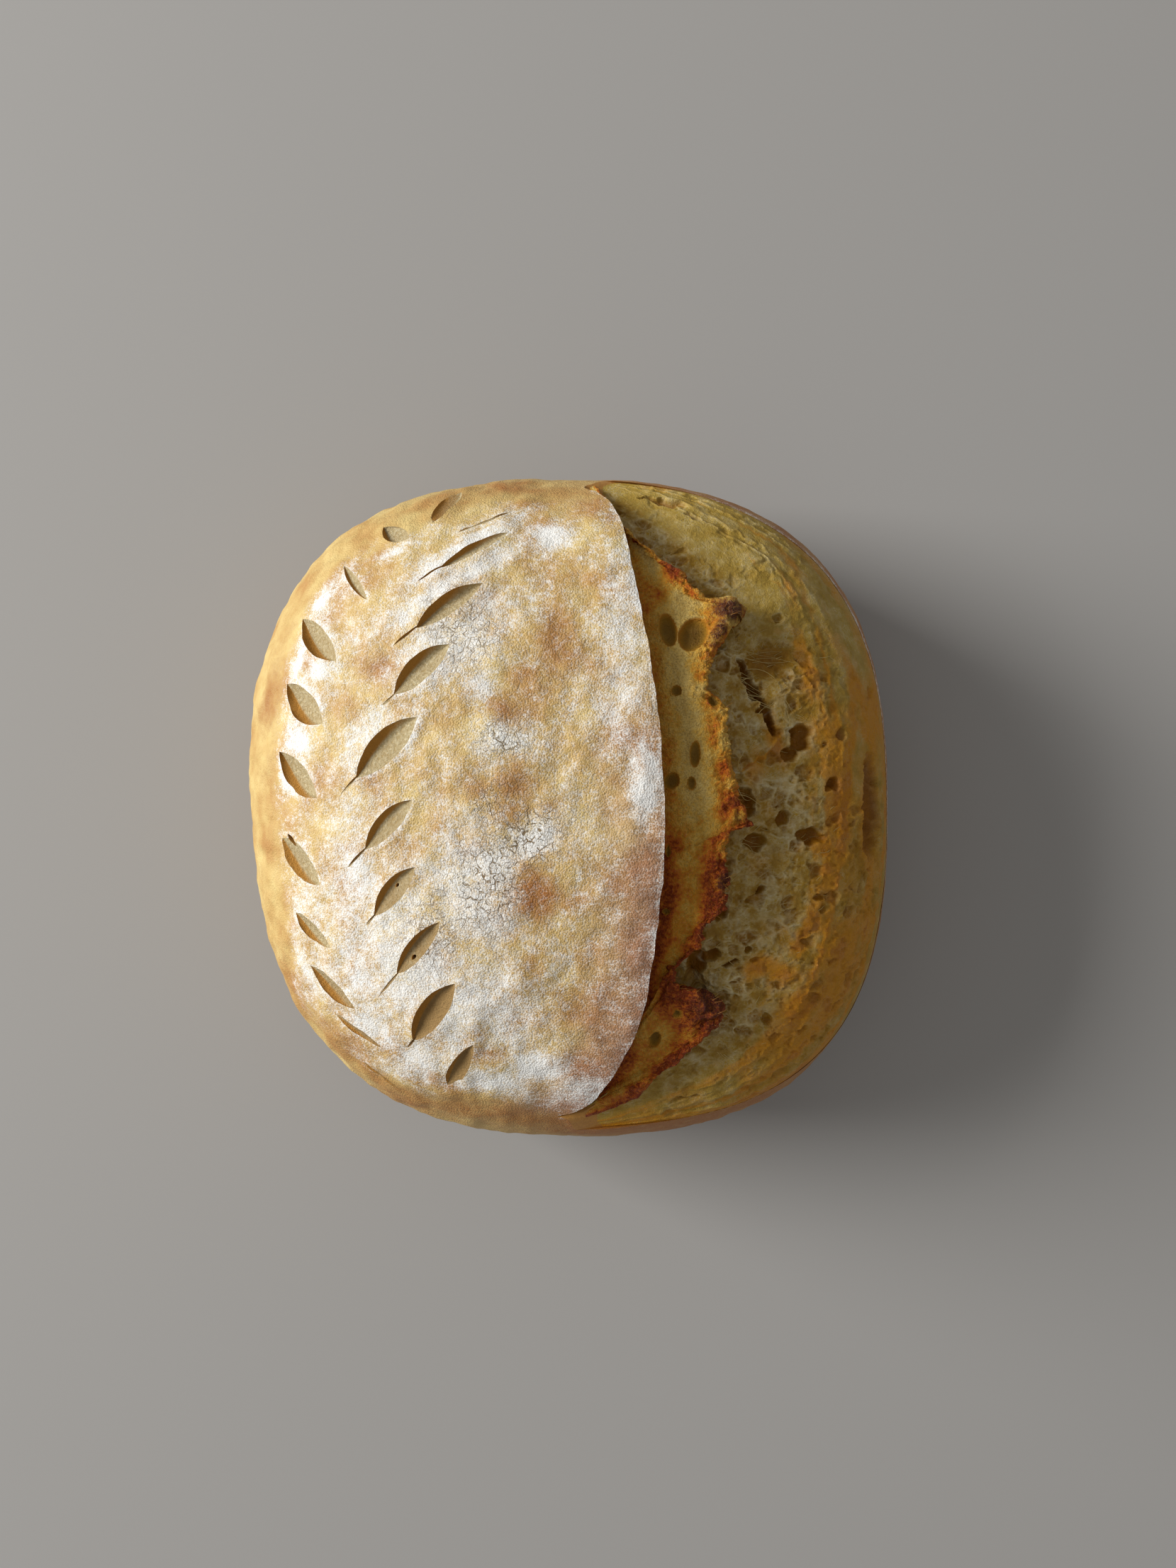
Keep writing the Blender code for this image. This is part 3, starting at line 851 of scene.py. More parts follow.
# The open crumb, from under the lip to the rim.
crumb = {
    # across the tear: (line, share of the way to the next line, sideways, drop), in mm
    "section": [
        (0, 0.05, 3.0, 13.5),
        (0, 0.60, 0.0, 13.0),
        (1, -0.08, 0.0, 12.0),
        (1, 0.03, 0.0, 10.8),
        (1, 0.14, 0.0, 10.2),
        (1, 0.29, 0.0, 8.8),
        (1, 0.44, 0.0, 6.8),
        (1, 0.59, 0.0, 4.4),
        (1, 0.74, 0.0, 2.5),
        (1, 0.88, 0.0, 1.1),
        (2, 0.00, 0.08, -0.2),
        (2, 0.00, 0.25, 3.2),
    ],
    "columns": 196,
    "rows": 840,
    # the columns under the lip are fewer: this share of them covers this much of the way
    "hiddenShare": 0.08,
    "hiddenWay": 0.25,
    "skirt": 40 * mm,  # the level at which the pieces are closed, inside the loaf
    "tearLength": 230 * mm,
    "tearWidth": 90 * mm,
    # the gas cells: (cell size, depth, share that are open, how pale their walls are), in mm
    "cells": [(4.4, 1.1, 0.34, 0.66), (2.1, 0.46, 0.45, 0.56), (1.05, 0.12, 0.6, 0.4)],
    "stretch": 1.3,  # cells are this much longer across the tear than along it
    # a ragged flap of crumb that hangs from the strip: its outline as (x, y)
    "flap": [
        (40, 50), (52, 49), (56, 42), (58.5, 35), (62, 28), (66, 22), (62, 17), (56, 14), (50, 9), (40, 6),
    ],
    "flapRise": 1.6,
    # named hollows: (x, y, half length, half width, direction, depth)
    "hollows": [
        (63, 47, 8.5, 7, 20, 2.0),
        (55.5, 42, 5.5, 1.5, -68, 5.0),
        (58, 36, 5.5, 2.0, -55, 6.0),
        (62.6, 26.7, 4.2, 1.8, -70, 5.5),
        (72.9, 22.7, 4.6, 4.0, 90, 4.2),
        (69.2, 17.3, 3.2, 2.4, 0, 3.8),
        (83.4, 7.9, 2.6, 2.4, 0, 3.2),
        (67, -2.6, 2.6, 2.0, 40, 2.6),
        (76, -8.3, 5.2, 2.8, -8, 3.6),
        (58, -9.7, 3.6, 3.0, 0, 3.0),
        (54, 2, 4.0, 5.0, 0, 3.5),
        (60, -24.8, 2.0, 1.2, 50, 2.6),
        (78.3, -27.3, 1.8, 1.6, 0, 2.0),
        (40, -47, 5.0, 3.4, 60, 4.5),
        (44.1, -44.7, 2.6, 1.8, 20, 3.6),
        (51, -47.4, 2.4, 1.2, 15, 3.0),
        (56, -43, 1.1, 1.1, 0, 2.0),
        (66, 60, 2.0, 1.6, 0, 1.4),
        (60.5, 30.5, 2.2, 1.2, 0, 3.0),
        (86, 24, 2.2, 1.8, 90, 2.2),
        (47, -31, 3.0, 2.5, 45, 3.0),
        (63, -66, 2.4, 1.8, 0, 2.0),
        (97.8, 0.5, 18, 3.6, 91, 4.0),
        (31, 100, 8, 1.5, -14, 2.2),
        (40.5, 94.3, 3.6, 0.7, -20, 1.2),
        (98.5, 38, 2.0, 1.2, 100, 1.2),
        (38, -92, 6, 0.8, 14, 1.2),
    ],
    "toasted": [
        (76.7, -34.9, 3, 2.4, 40, 1.0), (73, -41, 2, 5, -25, 0.8), (60, -48.7, 5, 3, 10, 0.8),
        (67.7, -51, 4, 3, 0, 0.8), (80, -12, 3, 4, 0, 0.6), (82, -20, 2.5, 5, 0, 0.6),
        (72, -62, 5, 4, 30, 0.6), (66, 56, 5, 1.6, -5, 0.4), (75, 42, 2, 5, 0, 0.5),
        (84, 55, 2, 9, 30, 0.4), (84, -44, 3, 6, -30, 0.5), (72, 52, 2, 6, 60, 0.4),
        (64, 22, 3, 6, 20, 0.8), (97, 1, 3, 18, 1, 0.6), (87, -2, 3, 14, 0, 0.6), (58, 14, 4, 5, 0, 0.35),
    ],
    "sharpAngle": 65,
}


def cellsAt(points, size, seed):  # gas cells of one size: distance to the wall, and a chance for each
    shift = Vector((seed * 5.3, seed * 9.1, seed * 2.7))
    gap, chance = np.empty(len(points)), np.empty(len(points))
    for index, point in enumerate(points):
        distances, middles = noise.voronoi(Vector(point) / size + shift)
        gap[index] = distances[1] - distances[0]
        chance[index] = noise.cell(middles[0])
    return gap, (chance + 1) / 2


def ridgesAt(across, along, width, length, seed):  # thin lines that run along the tear
    shares = zip(across / width, along / length)
    lines = np.array([noise.noise(Vector((u, v, seed * 3.3))) for u, v in shares])
    return 1 - np.minimum(np.abs(lines) * 3.2, 1)


def makeCrumb(material):
    piece = startPiece("openCrumb", crumb["columns"], crumb["rows"])
    flat = pointsOf(piece)
    place, share = (flat[:, 0] + 1) / 2, (1 - flat[:, 1]) / 2
    place = np.interp(place, [0, crumb["hiddenShare"], 1], [0, crumb["hiddenWay"], 1])
    position = place * (len(crumb["section"]) - 1)
    start = np.minimum(position.astype(int), len(crumb["section"]) - 2)
    blend = position - start
    depth = tearDepth(share)
    plans = []
    for line, across, sideways, drop in crumb["section"]:
        plan = tearPlan(line, across, share)
        plan[:, 0] += sideways * mm * depth
        plans.append(np.column_stack([plan, np.full(len(plan), drop * mm)]))
    plans = np.array(plans)
    rows = np.arange(len(flat))
    mixed = plans[start, rows] * (1 - blend)[:, None] + plans[start + 1, rows] * blend[:, None]
    height = domeHeight(mixed[:, 0], mixed[:, 1]) - mixed[:, 2] * depth - ear["endSink"] * (1 - depth)
    points = np.column_stack([mixed[:, :2], height])
    setPoints(piece, points)
    y = points[:, 1] / mm
    # where the dough stretched smooth: at the far end, outside the cells, along the rim and at the near end
    smoothZone = np.maximum.reduce([
        0.82 * smooth(46, 66, y) * smooth(0.38, 0.52, place),
        0.8 * smooth(0.62, 0.78, place) * smooth(-14, 14, y),
        smooth(0.82, 0.92, place),
        0.45 * smooth(-72, -88, y),
    ])
    broad = noiseAt(points, 13 * mm, 35) * 1.3 + noiseAt(points, 5 * mm, 36) * 0.5
    broad *= 1 - 0.5 * smoothZone
    warp = np.column_stack([noiseAt(points, 2.6 * mm, seed) for seed in (31, 32, 33)]) * 1.1 * mm
    warp += np.column_stack([noiseAt(points, 0.9 * mm, seed) for seed in (34, 37, 38)]) * 0.22 * mm
    warped = points + warp
    warped[:, 0] /= crumb["stretch"]
    opened, walls = np.zeros(len(points)), np.zeros(len(points))
    closed = smoothZone * (0.85 + 0.3 * noiseAt(points, 4 * mm, 30))
    for seed, (size, cellDepth, openShare, pale) in enumerate(crumb["cells"]):
        gap, chance = cellsAt(warped, size * mm, seed)
        isOpen = 0.18 + 0.82 * smooth(1 - openShare - 0.06, 1 - openShare + 0.06, chance)
        opened += smooth(0.02, 0.40, gap) * cellDepth * isOpen * (1 - np.clip(closed, 0, 0.96))
        thin = smooth(0.20, 0.04, gap) * (0.45 + 0.55 * isOpen) * (1 - 0.75 * smoothZone)
        walls = np.maximum(walls, pale * thin)
    print("crumb: cells opened")
    hollowed = np.zeros(len(points))
    crooked = points + warp * 1.1
    for hollow in crumb["hollows"]:
        inside = ovalField(crooked, hollow)
        hollowed = np.maximum(hollowed, hollow[5] * np.clip(1 - inside**2.0, 0, 1) ** 0.6)
        walls = np.maximum(walls, 0.7 * fade(inside - 1.08, 0.14) * (hollow[2] < 8))
        walls *= 1 - smooth(1.0, 0.8, inside)
    walls *= 1 - 0.6 * smooth(0.50, 0.70, place)
    flap = insideOutline(crooked, crumb["flap"], 0.8)
    alongTear, acrossTear = share * crumb["tearLength"], place * crumb["tearWidth"] + warp[:, 0] * 1.5
    strands = ridgesAt(acrossTear, alongTear, 2.2 * mm, 22 * mm, 1)
    strands = np.maximum(strands, 0.8 * ridgesAt(acrossTear, alongTear, 1.0 * mm, 12 * mm, 2))
    folds = ridgesAt(acrossTear, alongTear, 5 * mm, 60 * mm, 3) ** 2 * smooth(0.60, 0.68, place)
    relief = 0.5 * folds + broad * (1 - 0.6 * smooth(0.7, 0.9, place)) + flap * crumb["flapRise"]
    relief += 0.12 * strands * smoothZone * smooth(0.93, 0.85, place) - opened - hollowed
    ends = np.minimum(depth * 1.4, 1) * smooth(0.905, 0.85, place)
    points = points + normalsOf(piece) * (relief * mm * ends)[:, None]
    setPoints(piece, points)
    # painted shade: how deep each cell and hollow lies, which the crumb's material turns into a darker,
    # browner colour
    setAttribute(piece, "poreShade", np.maximum(opened / 2.6, hollowed / 3.0) * ends)
    # a pale line along the crumb's edge at the rim: painted highlight
    rimHighlight = 0.42 * smooth(0.893, 0.906, place) * depth
    walls = np.maximum(walls, (0.35 * strands**3 + 0.3 * folds) * smoothZone)
    setAttribute(piece, "wall", walls * ends + rimHighlight)
    setAttribute(piece, "tight", smoothZone)
    flapEdge = 1.1 * fade(flap - 0.45, 0.35) * smooth(52, 57, points[:, 0] / mm)
    nearRim = 0.16 * smooth(0.50, 0.75, place) - 0.3 * smooth(30, 60, y)
    streaks = ridgesAt(acrossTear, alongTear, 6 * mm, 50 * mm, 4) * smooth(0.48, 0.66, place)
    toast = 0.5 * streaks + spotField(crooked, crumb["toasted"]) + 0.2 * (1 - depth) + nearRim + flapEdge
    toast += 0.15 * smooth(-70, -96, y) + 0.25 * noiseAt(points, 7 * mm, 39)
    setAttribute(piece, "toast", toast)
    piece.data.materials.append(material)
    chooseOnly(piece)
    bpy.ops.object.mode_set(mode="EDIT")
    bpy.ops.mesh.select_all(action="DESELECT")
    bpy.ops.object.mode_set(mode="OBJECT")
    faces = len(piece.data.polygons)
    piece.data.polygons.foreach_set("select", np.arange(faces) < faces // 2)
    bpy.ops.object.mode_set(mode="EDIT")
    bpy.ops.mesh.select_mode(type="FACE")
    bpy.ops.mesh.separate(type="SELECTED")
    bpy.ops.object.mode_set(mode="OBJECT")
    halves = list(bpy.context.selected_objects)
    for half, name in zip(halves, ("crumbFar", "crumbNear")):
        half.name = half.data.name = name
        closeBelow(half, crumb["skirt"])
        finishPiece(half, crumb["sharpAngle"])
    return halves


# Gluten threads, drawn out of the dough as it tore.
threads = {
    "bevelSteps": 2,
    "points": 8,  # along each thread
    # fans that cross a hollow: (start x, start y, end x, end y, how many, spread at start, spread at end)
    "fans": [
        (54, 47, 70, 45, 10, 8, 14),
        (55, 40, 74, 33, 12, 10, 15),
        (49, 6, 60, 2, 6, 7, 9),
        (52, -8, 62, -12, 6, 6, 9),
    ],
    "fringe": (-66, 84, 1.1),  # along the torn edge: from y to y, one every so many mm
    "loose": 190,  # how many lie free on the crumb
    "looseRange": (-78, 62),  # from y to y
    "fringeSize": (0.8, 3.0),
    "looseSize": (2.0, 5.5),
    "thickness": 0.085 * mm,
    "taper": 0.65,  # how much thinner a thread is at its end
    "sharpAngle": 60,
    "seed": 5,
}


def drawThreads(name, paths, material):
    curve = bpy.data.curves.new(name, "CURVE")
    curve.dimensions, curve.resolution_u = "3D", 1
    curve.bevel_depth, curve.bevel_resolution = threads["thickness"], threads["bevelSteps"]
    curve.use_fill_caps = True
    for path, thickness in paths:
        spline = curve.splines.new("POLY")
        spline.points.add(len(path) - 1)
        for point, place, share in zip(spline.points, path, np.linspace(0, 1, len(path))):
            point.co = (*place, 1)
            point.radius = thickness * (1 - threads["taper"] * share)
    piece = bpy.data.objects.new(name, curve)
    bpy.context.collection.objects.link(piece)
    chooseOnly(piece)
    bpy.ops.object.convert(target="MESH")
    piece.data.materials.append(material)
    finishPiece(piece, threads["sharpAngle"])


def surfaceAt(pieces, x, y):  # the highest point of these pieces at a place in plan
    heights = []
    for piece in pieces:
        hit, place, _, _ = piece.ray_cast(Vector((x * mm, y * mm, 0.2)), Vector((0, 0, -1)))
        if hit:
            heights.append(place.z)
    return max(heights) if heights else 0.0


def makeThreads(strip, crumbs, paleThread, toastedThread):
    random = np.random.default_rng(threads["seed"])
    steps = np.linspace(0, 1, threads["points"])
    bpy.context.view_layer.update()

    def strand(startX, startY, endX, endY, arch, bend):
        start = np.array([startX * mm, startY * mm, surfaceAt(crumbs + [strip], startX, startY)])
        end = np.array([endX * mm, endY * mm, surfaceAt(crumbs, endX, endY)])
        path = start + (end - start) * steps[:, None]
        path[:, 2] += (arch * np.sin(np.pi * steps) - 0.15) * mm
        path[:, 1] += bend * np.sin(np.pi * steps) * mm
        return path

    paths = []
    for startX, startY, endX, endY, count, spreadStart, spreadEnd in threads["fans"]:
        for _ in range(count):
            across = random.uniform(-0.5, 0.5)
            path = strand(
                startX + random.uniform(-2, 2), startY + across * spreadStart + random.uniform(-1, 1),
                endX + random.uniform(-5, 3), endY + across * spreadEnd + random.uniform(-2, 2),
                random.uniform(-0.8, 0.5), random.uniform(-2.4, 2.4),
            )
            paths.append((path, random.uniform(0.6, 1.3)))
    for _ in range(threads["loose"]):
        y = random.uniform(*threads["looseRange"])
        share = np.clip((110 - y) / 220, 0.02, 0.98)
        edgeX = raggedEdge(np.array([share]))[0, 0] / mm
        x = edgeX + random.uniform(1.5, 34)
        turn = random.normal(0, 0.6)
        length = random.uniform(*threads["looseSize"])
        endX, endY = x + length * math.cos(turn), y + length * math.sin(turn)
        path = strand(x, y, endX, endY, random.uniform(0, 0.35), random.uniform(-0.6, 0.6))
        paths.append((path, random.uniform(0.5, 1.1)))
    drawThreads("crumbThreads", paths, paleThread)
    low, high, spacing = threads["fringe"]
    paths = []
    for share in np.arange(0.08, 0.92, spacing / 210):
        edge = raggedEdge(np.array([share]))[0] / mm
        if not low < edge[1] < high:
            continue
        x, y = edge[0] - 0.8, edge[1] + random.uniform(-0.4, 0.4)
        start = np.array([x * mm, y * mm, surfaceAt([strip], x, y) - 0.2 * mm])
        turn, rise = random.normal(0, 0.7), random.uniform(-0.2, 0.7)
        length = (random.uniform(*threads["fringeSize"]) + 0.8) * mm
        step = np.array([math.cos(turn), math.sin(turn), rise])
        path = start + step * (steps * length)[:, None]
        path[:, 2] -= 0.5 * length * steps**2
        paths.append((path, random.uniform(0.5, 0.95)))
    drawThreads("lipFringe", paths, toastedThread)


def glutenThread(name, code):  # drawn gluten, dried to a thin glossy thread
    material, tree = newMaterial(name)
    surface = addNode(
        tree, "ShaderNodeBsdfPrincipled",
        {"Base Color": hexColour(code), "Roughness": 0.4, "Specular IOR Level": 0.5},
    )
    addNode(tree, "ShaderNodeOutputMaterial", {}, {"Surface": surface.outputs[0]})
    return material


# Baked wheat crust, proofed in a floured basket: matt gold, fine blisters, a broken white dusting.
def flouredCrust():
    material, tree = newMaterial("flouredCrust")
    place = addNode(tree, "ShaderNodeTexCoord").outputs["Object"]
    veil, browned, blushed, cracked, under = (
        addNode(tree, "ShaderNodeAttribute", {"attribute_name": name}).outputs["Fac"]
        for name in ("flour", "browned", "blushed", "cracked", "under")
    )
    broad = addNode(
        tree, "ShaderNodeTexNoise", {"Scale": 1 / (15 * mm), "Detail": 3.0, "Roughness": 0.6},
        {"Vector": place},
    ).outputs["Fac"]
    mottle = addNode(
        tree, "ShaderNodeTexNoise", {"Scale": 1 / (2.6 * mm), "Detail": 4.0, "Roughness": 0.62},
        {"Vector": place},
    ).outputs["Fac"]
    tone = addNode(tree, "ShaderNodeValToRGB", {}, {"Fac": broad})
    tone.color_ramp.elements[0].position, tone.color_ramp.elements[0].color = 0.34, hexColour("#DEC380")
    tone.color_ramp.elements[1].position, tone.color_ramp.elements[1].color = 0.70, hexColour("#BE9052")
    tone.color_ramp.elements.new(0.54).color = hexColour("#CDAA68")
    heat = addNode(tree, "ShaderNodeMath", {"operation": "MULTIPLY_ADD", 1: 0.9, 2: -0.47}, {0: mottle})
    heatSum = addNode(
        tree, "ShaderNodeMath", {"operation": "ADD", "use_clamp": True}, {0: browned, 1: heat.outputs[0]}
    )
    brownMix = addNode(
        tree, "ShaderNodeMix", {"data_type": "RGBA", 7: hexColour("#A76C32")},
        {0: heatSum.outputs[0], 6: tone.outputs["Color"]},
    )
    blushMix = addNode(
        tree, "ShaderNodeMix", {"data_type": "RGBA", 7: hexColour("#A4745A")},
        {0: blushed, 6: brownMix.outputs[2]},
    )
    baseMix = addNode(
        tree, "ShaderNodeMix", {"data_type": "RGBA", 7: hexColour("#8F5A2B")},
        {0: under, 6: blushMix.outputs[2]},
    )
    # pebbles: the crust's own grain, 1 mm across, each ringed by flour caught between them
    bend = addNode(
        tree, "ShaderNodeTexNoise", {"Scale": 1 / (2.2 * mm), "Detail": 3.0, "Roughness": 0.6},
        {"Vector": place},
    )
    bent = addNode(
        tree, "ShaderNodeVectorMath", {"operation": "MULTIPLY_ADD", 1: (0.7 * mm,) * 3},
        {0: bend.outputs["Color"], 2: place},
    )
    pebble = addNode(
        tree, "ShaderNodeTexVoronoi", {"Scale": 1 / (0.6 * mm)}, {"Vector": bent.outputs[0]}
    ).outputs["Distance"]
    # flour: grains about 0.4 mm across, which gather in streaks near the ear
    grain = addNode(
        tree, "ShaderNodeTexNoise", {"Scale": 1 / (0.34 * mm), "Detail": 2.0, "Roughness": 0.7},
        {"Vector": place},
    ).outputs["Fac"]
    clump = addNode(
        tree, "ShaderNodeTexNoise", {"Scale": 1 / (1.9 * mm), "Detail": 4.0, "Roughness": 0.65},
        {"Vector": place},
    ).outputs["Fac"]
    brushed = addNode(
        tree, "ShaderNodeVectorMath", {"operation": "MULTIPLY", 1: (0.28, 1.0, 1.0)}, {0: place}
    )
    streak = addNode(
        tree, "ShaderNodeTexNoise", {"Scale": 1 / (1.3 * mm), "Detail": 3.0, "Roughness": 0.6},
        {"Vector": brushed.outputs[0]},
    ).outputs["Fac"]
    gather = addNode(
        tree, "ShaderNodeMix", {"data_type": "FLOAT"}, {0: blushed, 2: clump, 3: streak}
    ).outputs[0]
    speckled = addNode(tree, "ShaderNodeMath", {"operation": "MULTIPLY_ADD", 1: 1.5, 2: -0.75}, {0: grain})
    gathered = addNode(tree, "ShaderNodeMath", {"operation": "MULTIPLY_ADD", 1: 1.5, 2: -0.75}, {0: gather})
    ringed = addNode(tree, "ShaderNodeMath", {"operation": "MULTIPLY_ADD", 1: 0.5, 2: -0.20}, {0: pebble})
    uneven = addNode(
        tree, "ShaderNodeMath", {"operation": "ADD"}, {0: speckled.outputs[0], 1: gathered.outputs[0]}
    )
    unevenAll = addNode(
        tree, "ShaderNodeMath", {"operation": "ADD"}, {0: uneven.outputs[0], 1: ringed.outputs[0]}
    )
    lifted = addNode(tree, "ShaderNodeMath", {"operation": "ADD"}, {0: unevenAll.outputs[0], 1: veil})
    cover = addNode(
        tree, "ShaderNodeMapRange",
        {"interpolation_type": "SMOOTHSTEP", "From Min": 0.02, "From Max": 0.98, "To Max": 0.96},
        {"Value": lifted.outputs[0]},
    )
    shown = addNode(tree, "ShaderNodeMapRange", {"From Min": 0.0, "From Max": 0.12}, {"Value": veil})
    dusted = addNode(
        tree, "ShaderNodeMath", {"operation": "MULTIPLY"}, {0: cover.outputs[0], 1: shown.outputs[0]}
    )
    # cracks in the thick flour: crooked plates 1 to 3 mm across
    crook = addNode(
        tree, "ShaderNodeTexNoise", {"Scale": 1 / (1.1 * mm), "Detail": 2.0, "Roughness": 0.6},
        {"Vector": place},
    )
    crooked = addNode(
        tree, "ShaderNodeVectorMath", {"operation": "MULTIPLY_ADD", 1: (0.9 * mm,) * 3},
        {0: crook.outputs["Color"], 2: place},
    )
    plates = addNode(
        tree, "ShaderNodeTexVoronoi", {"feature": "DISTANCE_TO_EDGE", "Scale": 1 / (3.4 * mm)},
        {"Vector": crooked.outputs[0]},
    )
    chips = addNode(
        tree, "ShaderNodeTexVoronoi", {"feature": "DISTANCE_TO_EDGE", "Scale": 1 / (1.6 * mm)},
        {"Vector": crooked.outputs[0]},
    )
    nearest = addNode(
        tree, "ShaderNodeMath", {"operation": "MULTIPLY_ADD", 1: 0.6, 2: 0.022},
        {0: chips.outputs["Distance"]},
    )
    either = addNode(
        tree, "ShaderNodeMath", {"operation": "MINIMUM"},
        {0: plates.outputs["Distance"], 1: nearest.outputs[0]},
    )
    line = addNode(
        tree, "ShaderNodeMapRange", {"From Min": 0.012, "From Max": 0.065, "To Min": 1.0, "To Max": 0.0},
        {"Value": either.outputs[0]},
    )
    patchy = addNode(tree, "ShaderNodeMapRange", {"From Min": 0.44, "From Max": 0.56}, {"Value": clump})
    crackShare = addNode(
        tree, "ShaderNodeMath", {"operation": "MULTIPLY"}, {0: cracked, 1: patchy.outputs[0]}
    )
    crack = addNode(
        tree, "ShaderNodeMath", {"operation": "MULTIPLY"}, {0: line.outputs[0], 1: crackShare.outputs[0]}
    )
    uncracked = addNode(
        tree, "ShaderNodeMath", {"operation": "MULTIPLY_ADD", 1: -0.95, 2: 1.0}, {0: crack.outputs[0]}
    )
    floured = addNode(
        tree, "ShaderNodeMath", {"operation": "MULTIPLY", "use_clamp": True},
        {0: dusted.outputs[0], 1: uncracked.outputs[0]},
    )
    whitened = addNode(
        tree, "ShaderNodeMix", {"data_type": "RGBA", 7: hexColour("#F6F6F2")},
        {0: floured.outputs[0], 6: baseMix.outputs[2]},
    )
    gap = addNode(tree, "ShaderNodeMath", {"operation": "MULTIPLY", 1: 0.9}, {0: crack.outputs[0]})
    colour = addNode(
        tree, "ShaderNodeMix", {"data_type": "RGBA", 7: hexColour("#6E5232")},
        {0: gap.outputs[0], 6: whitened.outputs[2]},
    )
    rough = addNode(
        tree, "ShaderNodeMapRange", {"To Min": 0.55, "To Max": 0.95}, {"Value": floured.outputs[0]}
    )
    pebbled = addNode(tree, "ShaderNodeMath", {"operation": "MULTIPLY_ADD", 1: -0.5}, {0: pebble, 2: mottle})
    height = addNode(
        tree, "ShaderNodeMath", {"operation": "MULTIPLY_ADD", 1: -1.0},
        {0: crack.outputs[0], 2: pebbled.outputs[0]},
    )
    fine = addNode(
        tree, "ShaderNodeBump", {"Strength": 0.8, "Distance": 0.45 * mm}, {"Height": height.outputs[0]}
    )
    surface = addNode(
        tree, "ShaderNodeBsdfPrincipled", {"Specular IOR Level": 0.35},
        {"Base Color": colour.outputs[2], "Roughness": rough.outputs[0], "Normal": fine.outputs[0]},
    )
    addNode(tree, "ShaderNodeOutputMaterial", {}, {"Surface": surface.outputs[0]})
    return material


def cutDough():  # dough bared by the blade, dried in the oven: pale, granular, amber on its steep side, which faces away from the lamp: partly toasting, partly painted shade
    material, tree = newMaterial("cutDough")
    place = addNode(tree, "ShaderNodeTexCoord").outputs["Object"]
    wall, nearLeafShade = (
        addNode(tree, "ShaderNodeAttribute", {"attribute_name": name}).outputs["Fac"]
        for name in ("wall", "nearLeafShade")
    )
    noisy = addNode(
        tree, "ShaderNodeTexNoise", {"Scale": 1 / (0.9 * mm), "Detail": 4.0, "Roughness": 0.75},
        {"Vector": place},
    ).outputs["Fac"]
    grain = addNode(
        tree, "ShaderNodeMapRange", {"From Min": 0.35, "From Max": 0.65}, {"Value": noisy}
    ).outputs[0]
    pale = addNode(
        tree, "ShaderNodeMix", {"data_type": "RGBA", 6: hexColour("#B59C68"), 7: hexColour("#E6D8B0")},
        {0: grain},
    )
    # painted shade: the leaves of the near half darker and browner
    shadedDough = addNode(
        tree, "ShaderNodeMix", {"data_type": "RGBA", 7: hexColour("#AC8A56")},
        {0: nearLeafShade, 6: pale.outputs[2]},
    )
    # amber on the steep walls that face away from the lamp: partly the toasted cut edge, partly painted
    # shade
    steep = addNode(tree, "ShaderNodeMapRange", {"From Min": 0.58, "From Max": 0.72}, {"Value": wall})
    amberToastAndShade = addNode(
        tree, "ShaderNodeMix", {"data_type": "RGBA", 7: hexColour("#CC9240")},
        {0: steep.outputs[0], 6: shadedDough.outputs[2]},
    )
    bump = addNode(tree, "ShaderNodeBump", {"Strength": 0.8, "Distance": 0.5 * mm}, {"Height": grain})
    surface = addNode(
        tree, "ShaderNodeBsdfPrincipled", {"Roughness": 0.75, "Specular IOR Level": 0.3},
        {"Base Color": amberToastAndShade.outputs[2], "Normal": bump.outputs[0]},
    )
    addNode(tree, "ShaderNodeOutputMaterial", {}, {"Surface": surface.outputs[0]})
    return material


def toastedCleft():  # the underside of the ear, baked dry: orange brown
    material, tree = newMaterial("toastedCleft")
    place = addNode(tree, "ShaderNodeTexCoord").outputs["Object"]
    grain = addNode(
        tree, "ShaderNodeTexNoise", {"Scale": 1 / (1.5 * mm), "Detail": 4.0, "Roughness": 0.65},
        {"Vector": place},
    ).outputs["Fac"]
    tone = addNode(
        tree, "ShaderNodeMix", {"data_type": "RGBA", 6: hexColour("#A8702E"), 7: hexColour("#C9954A")},
        {0: grain},
    )
    bump = addNode(tree, "ShaderNodeBump", {"Strength": 0.6, "Distance": 0.4 * mm}, {"Height": grain})
    surface = addNode(
        tree, "ShaderNodeBsdfPrincipled", {"Roughness": 0.6, "Specular IOR Level": 0.35},
        {"Base Color": tone.outputs[2], "Normal": bump.outputs[0]},
    )
    addNode(tree, "ShaderNodeOutputMaterial", {}, {"Surface": surface.outputs[0]})
    return material


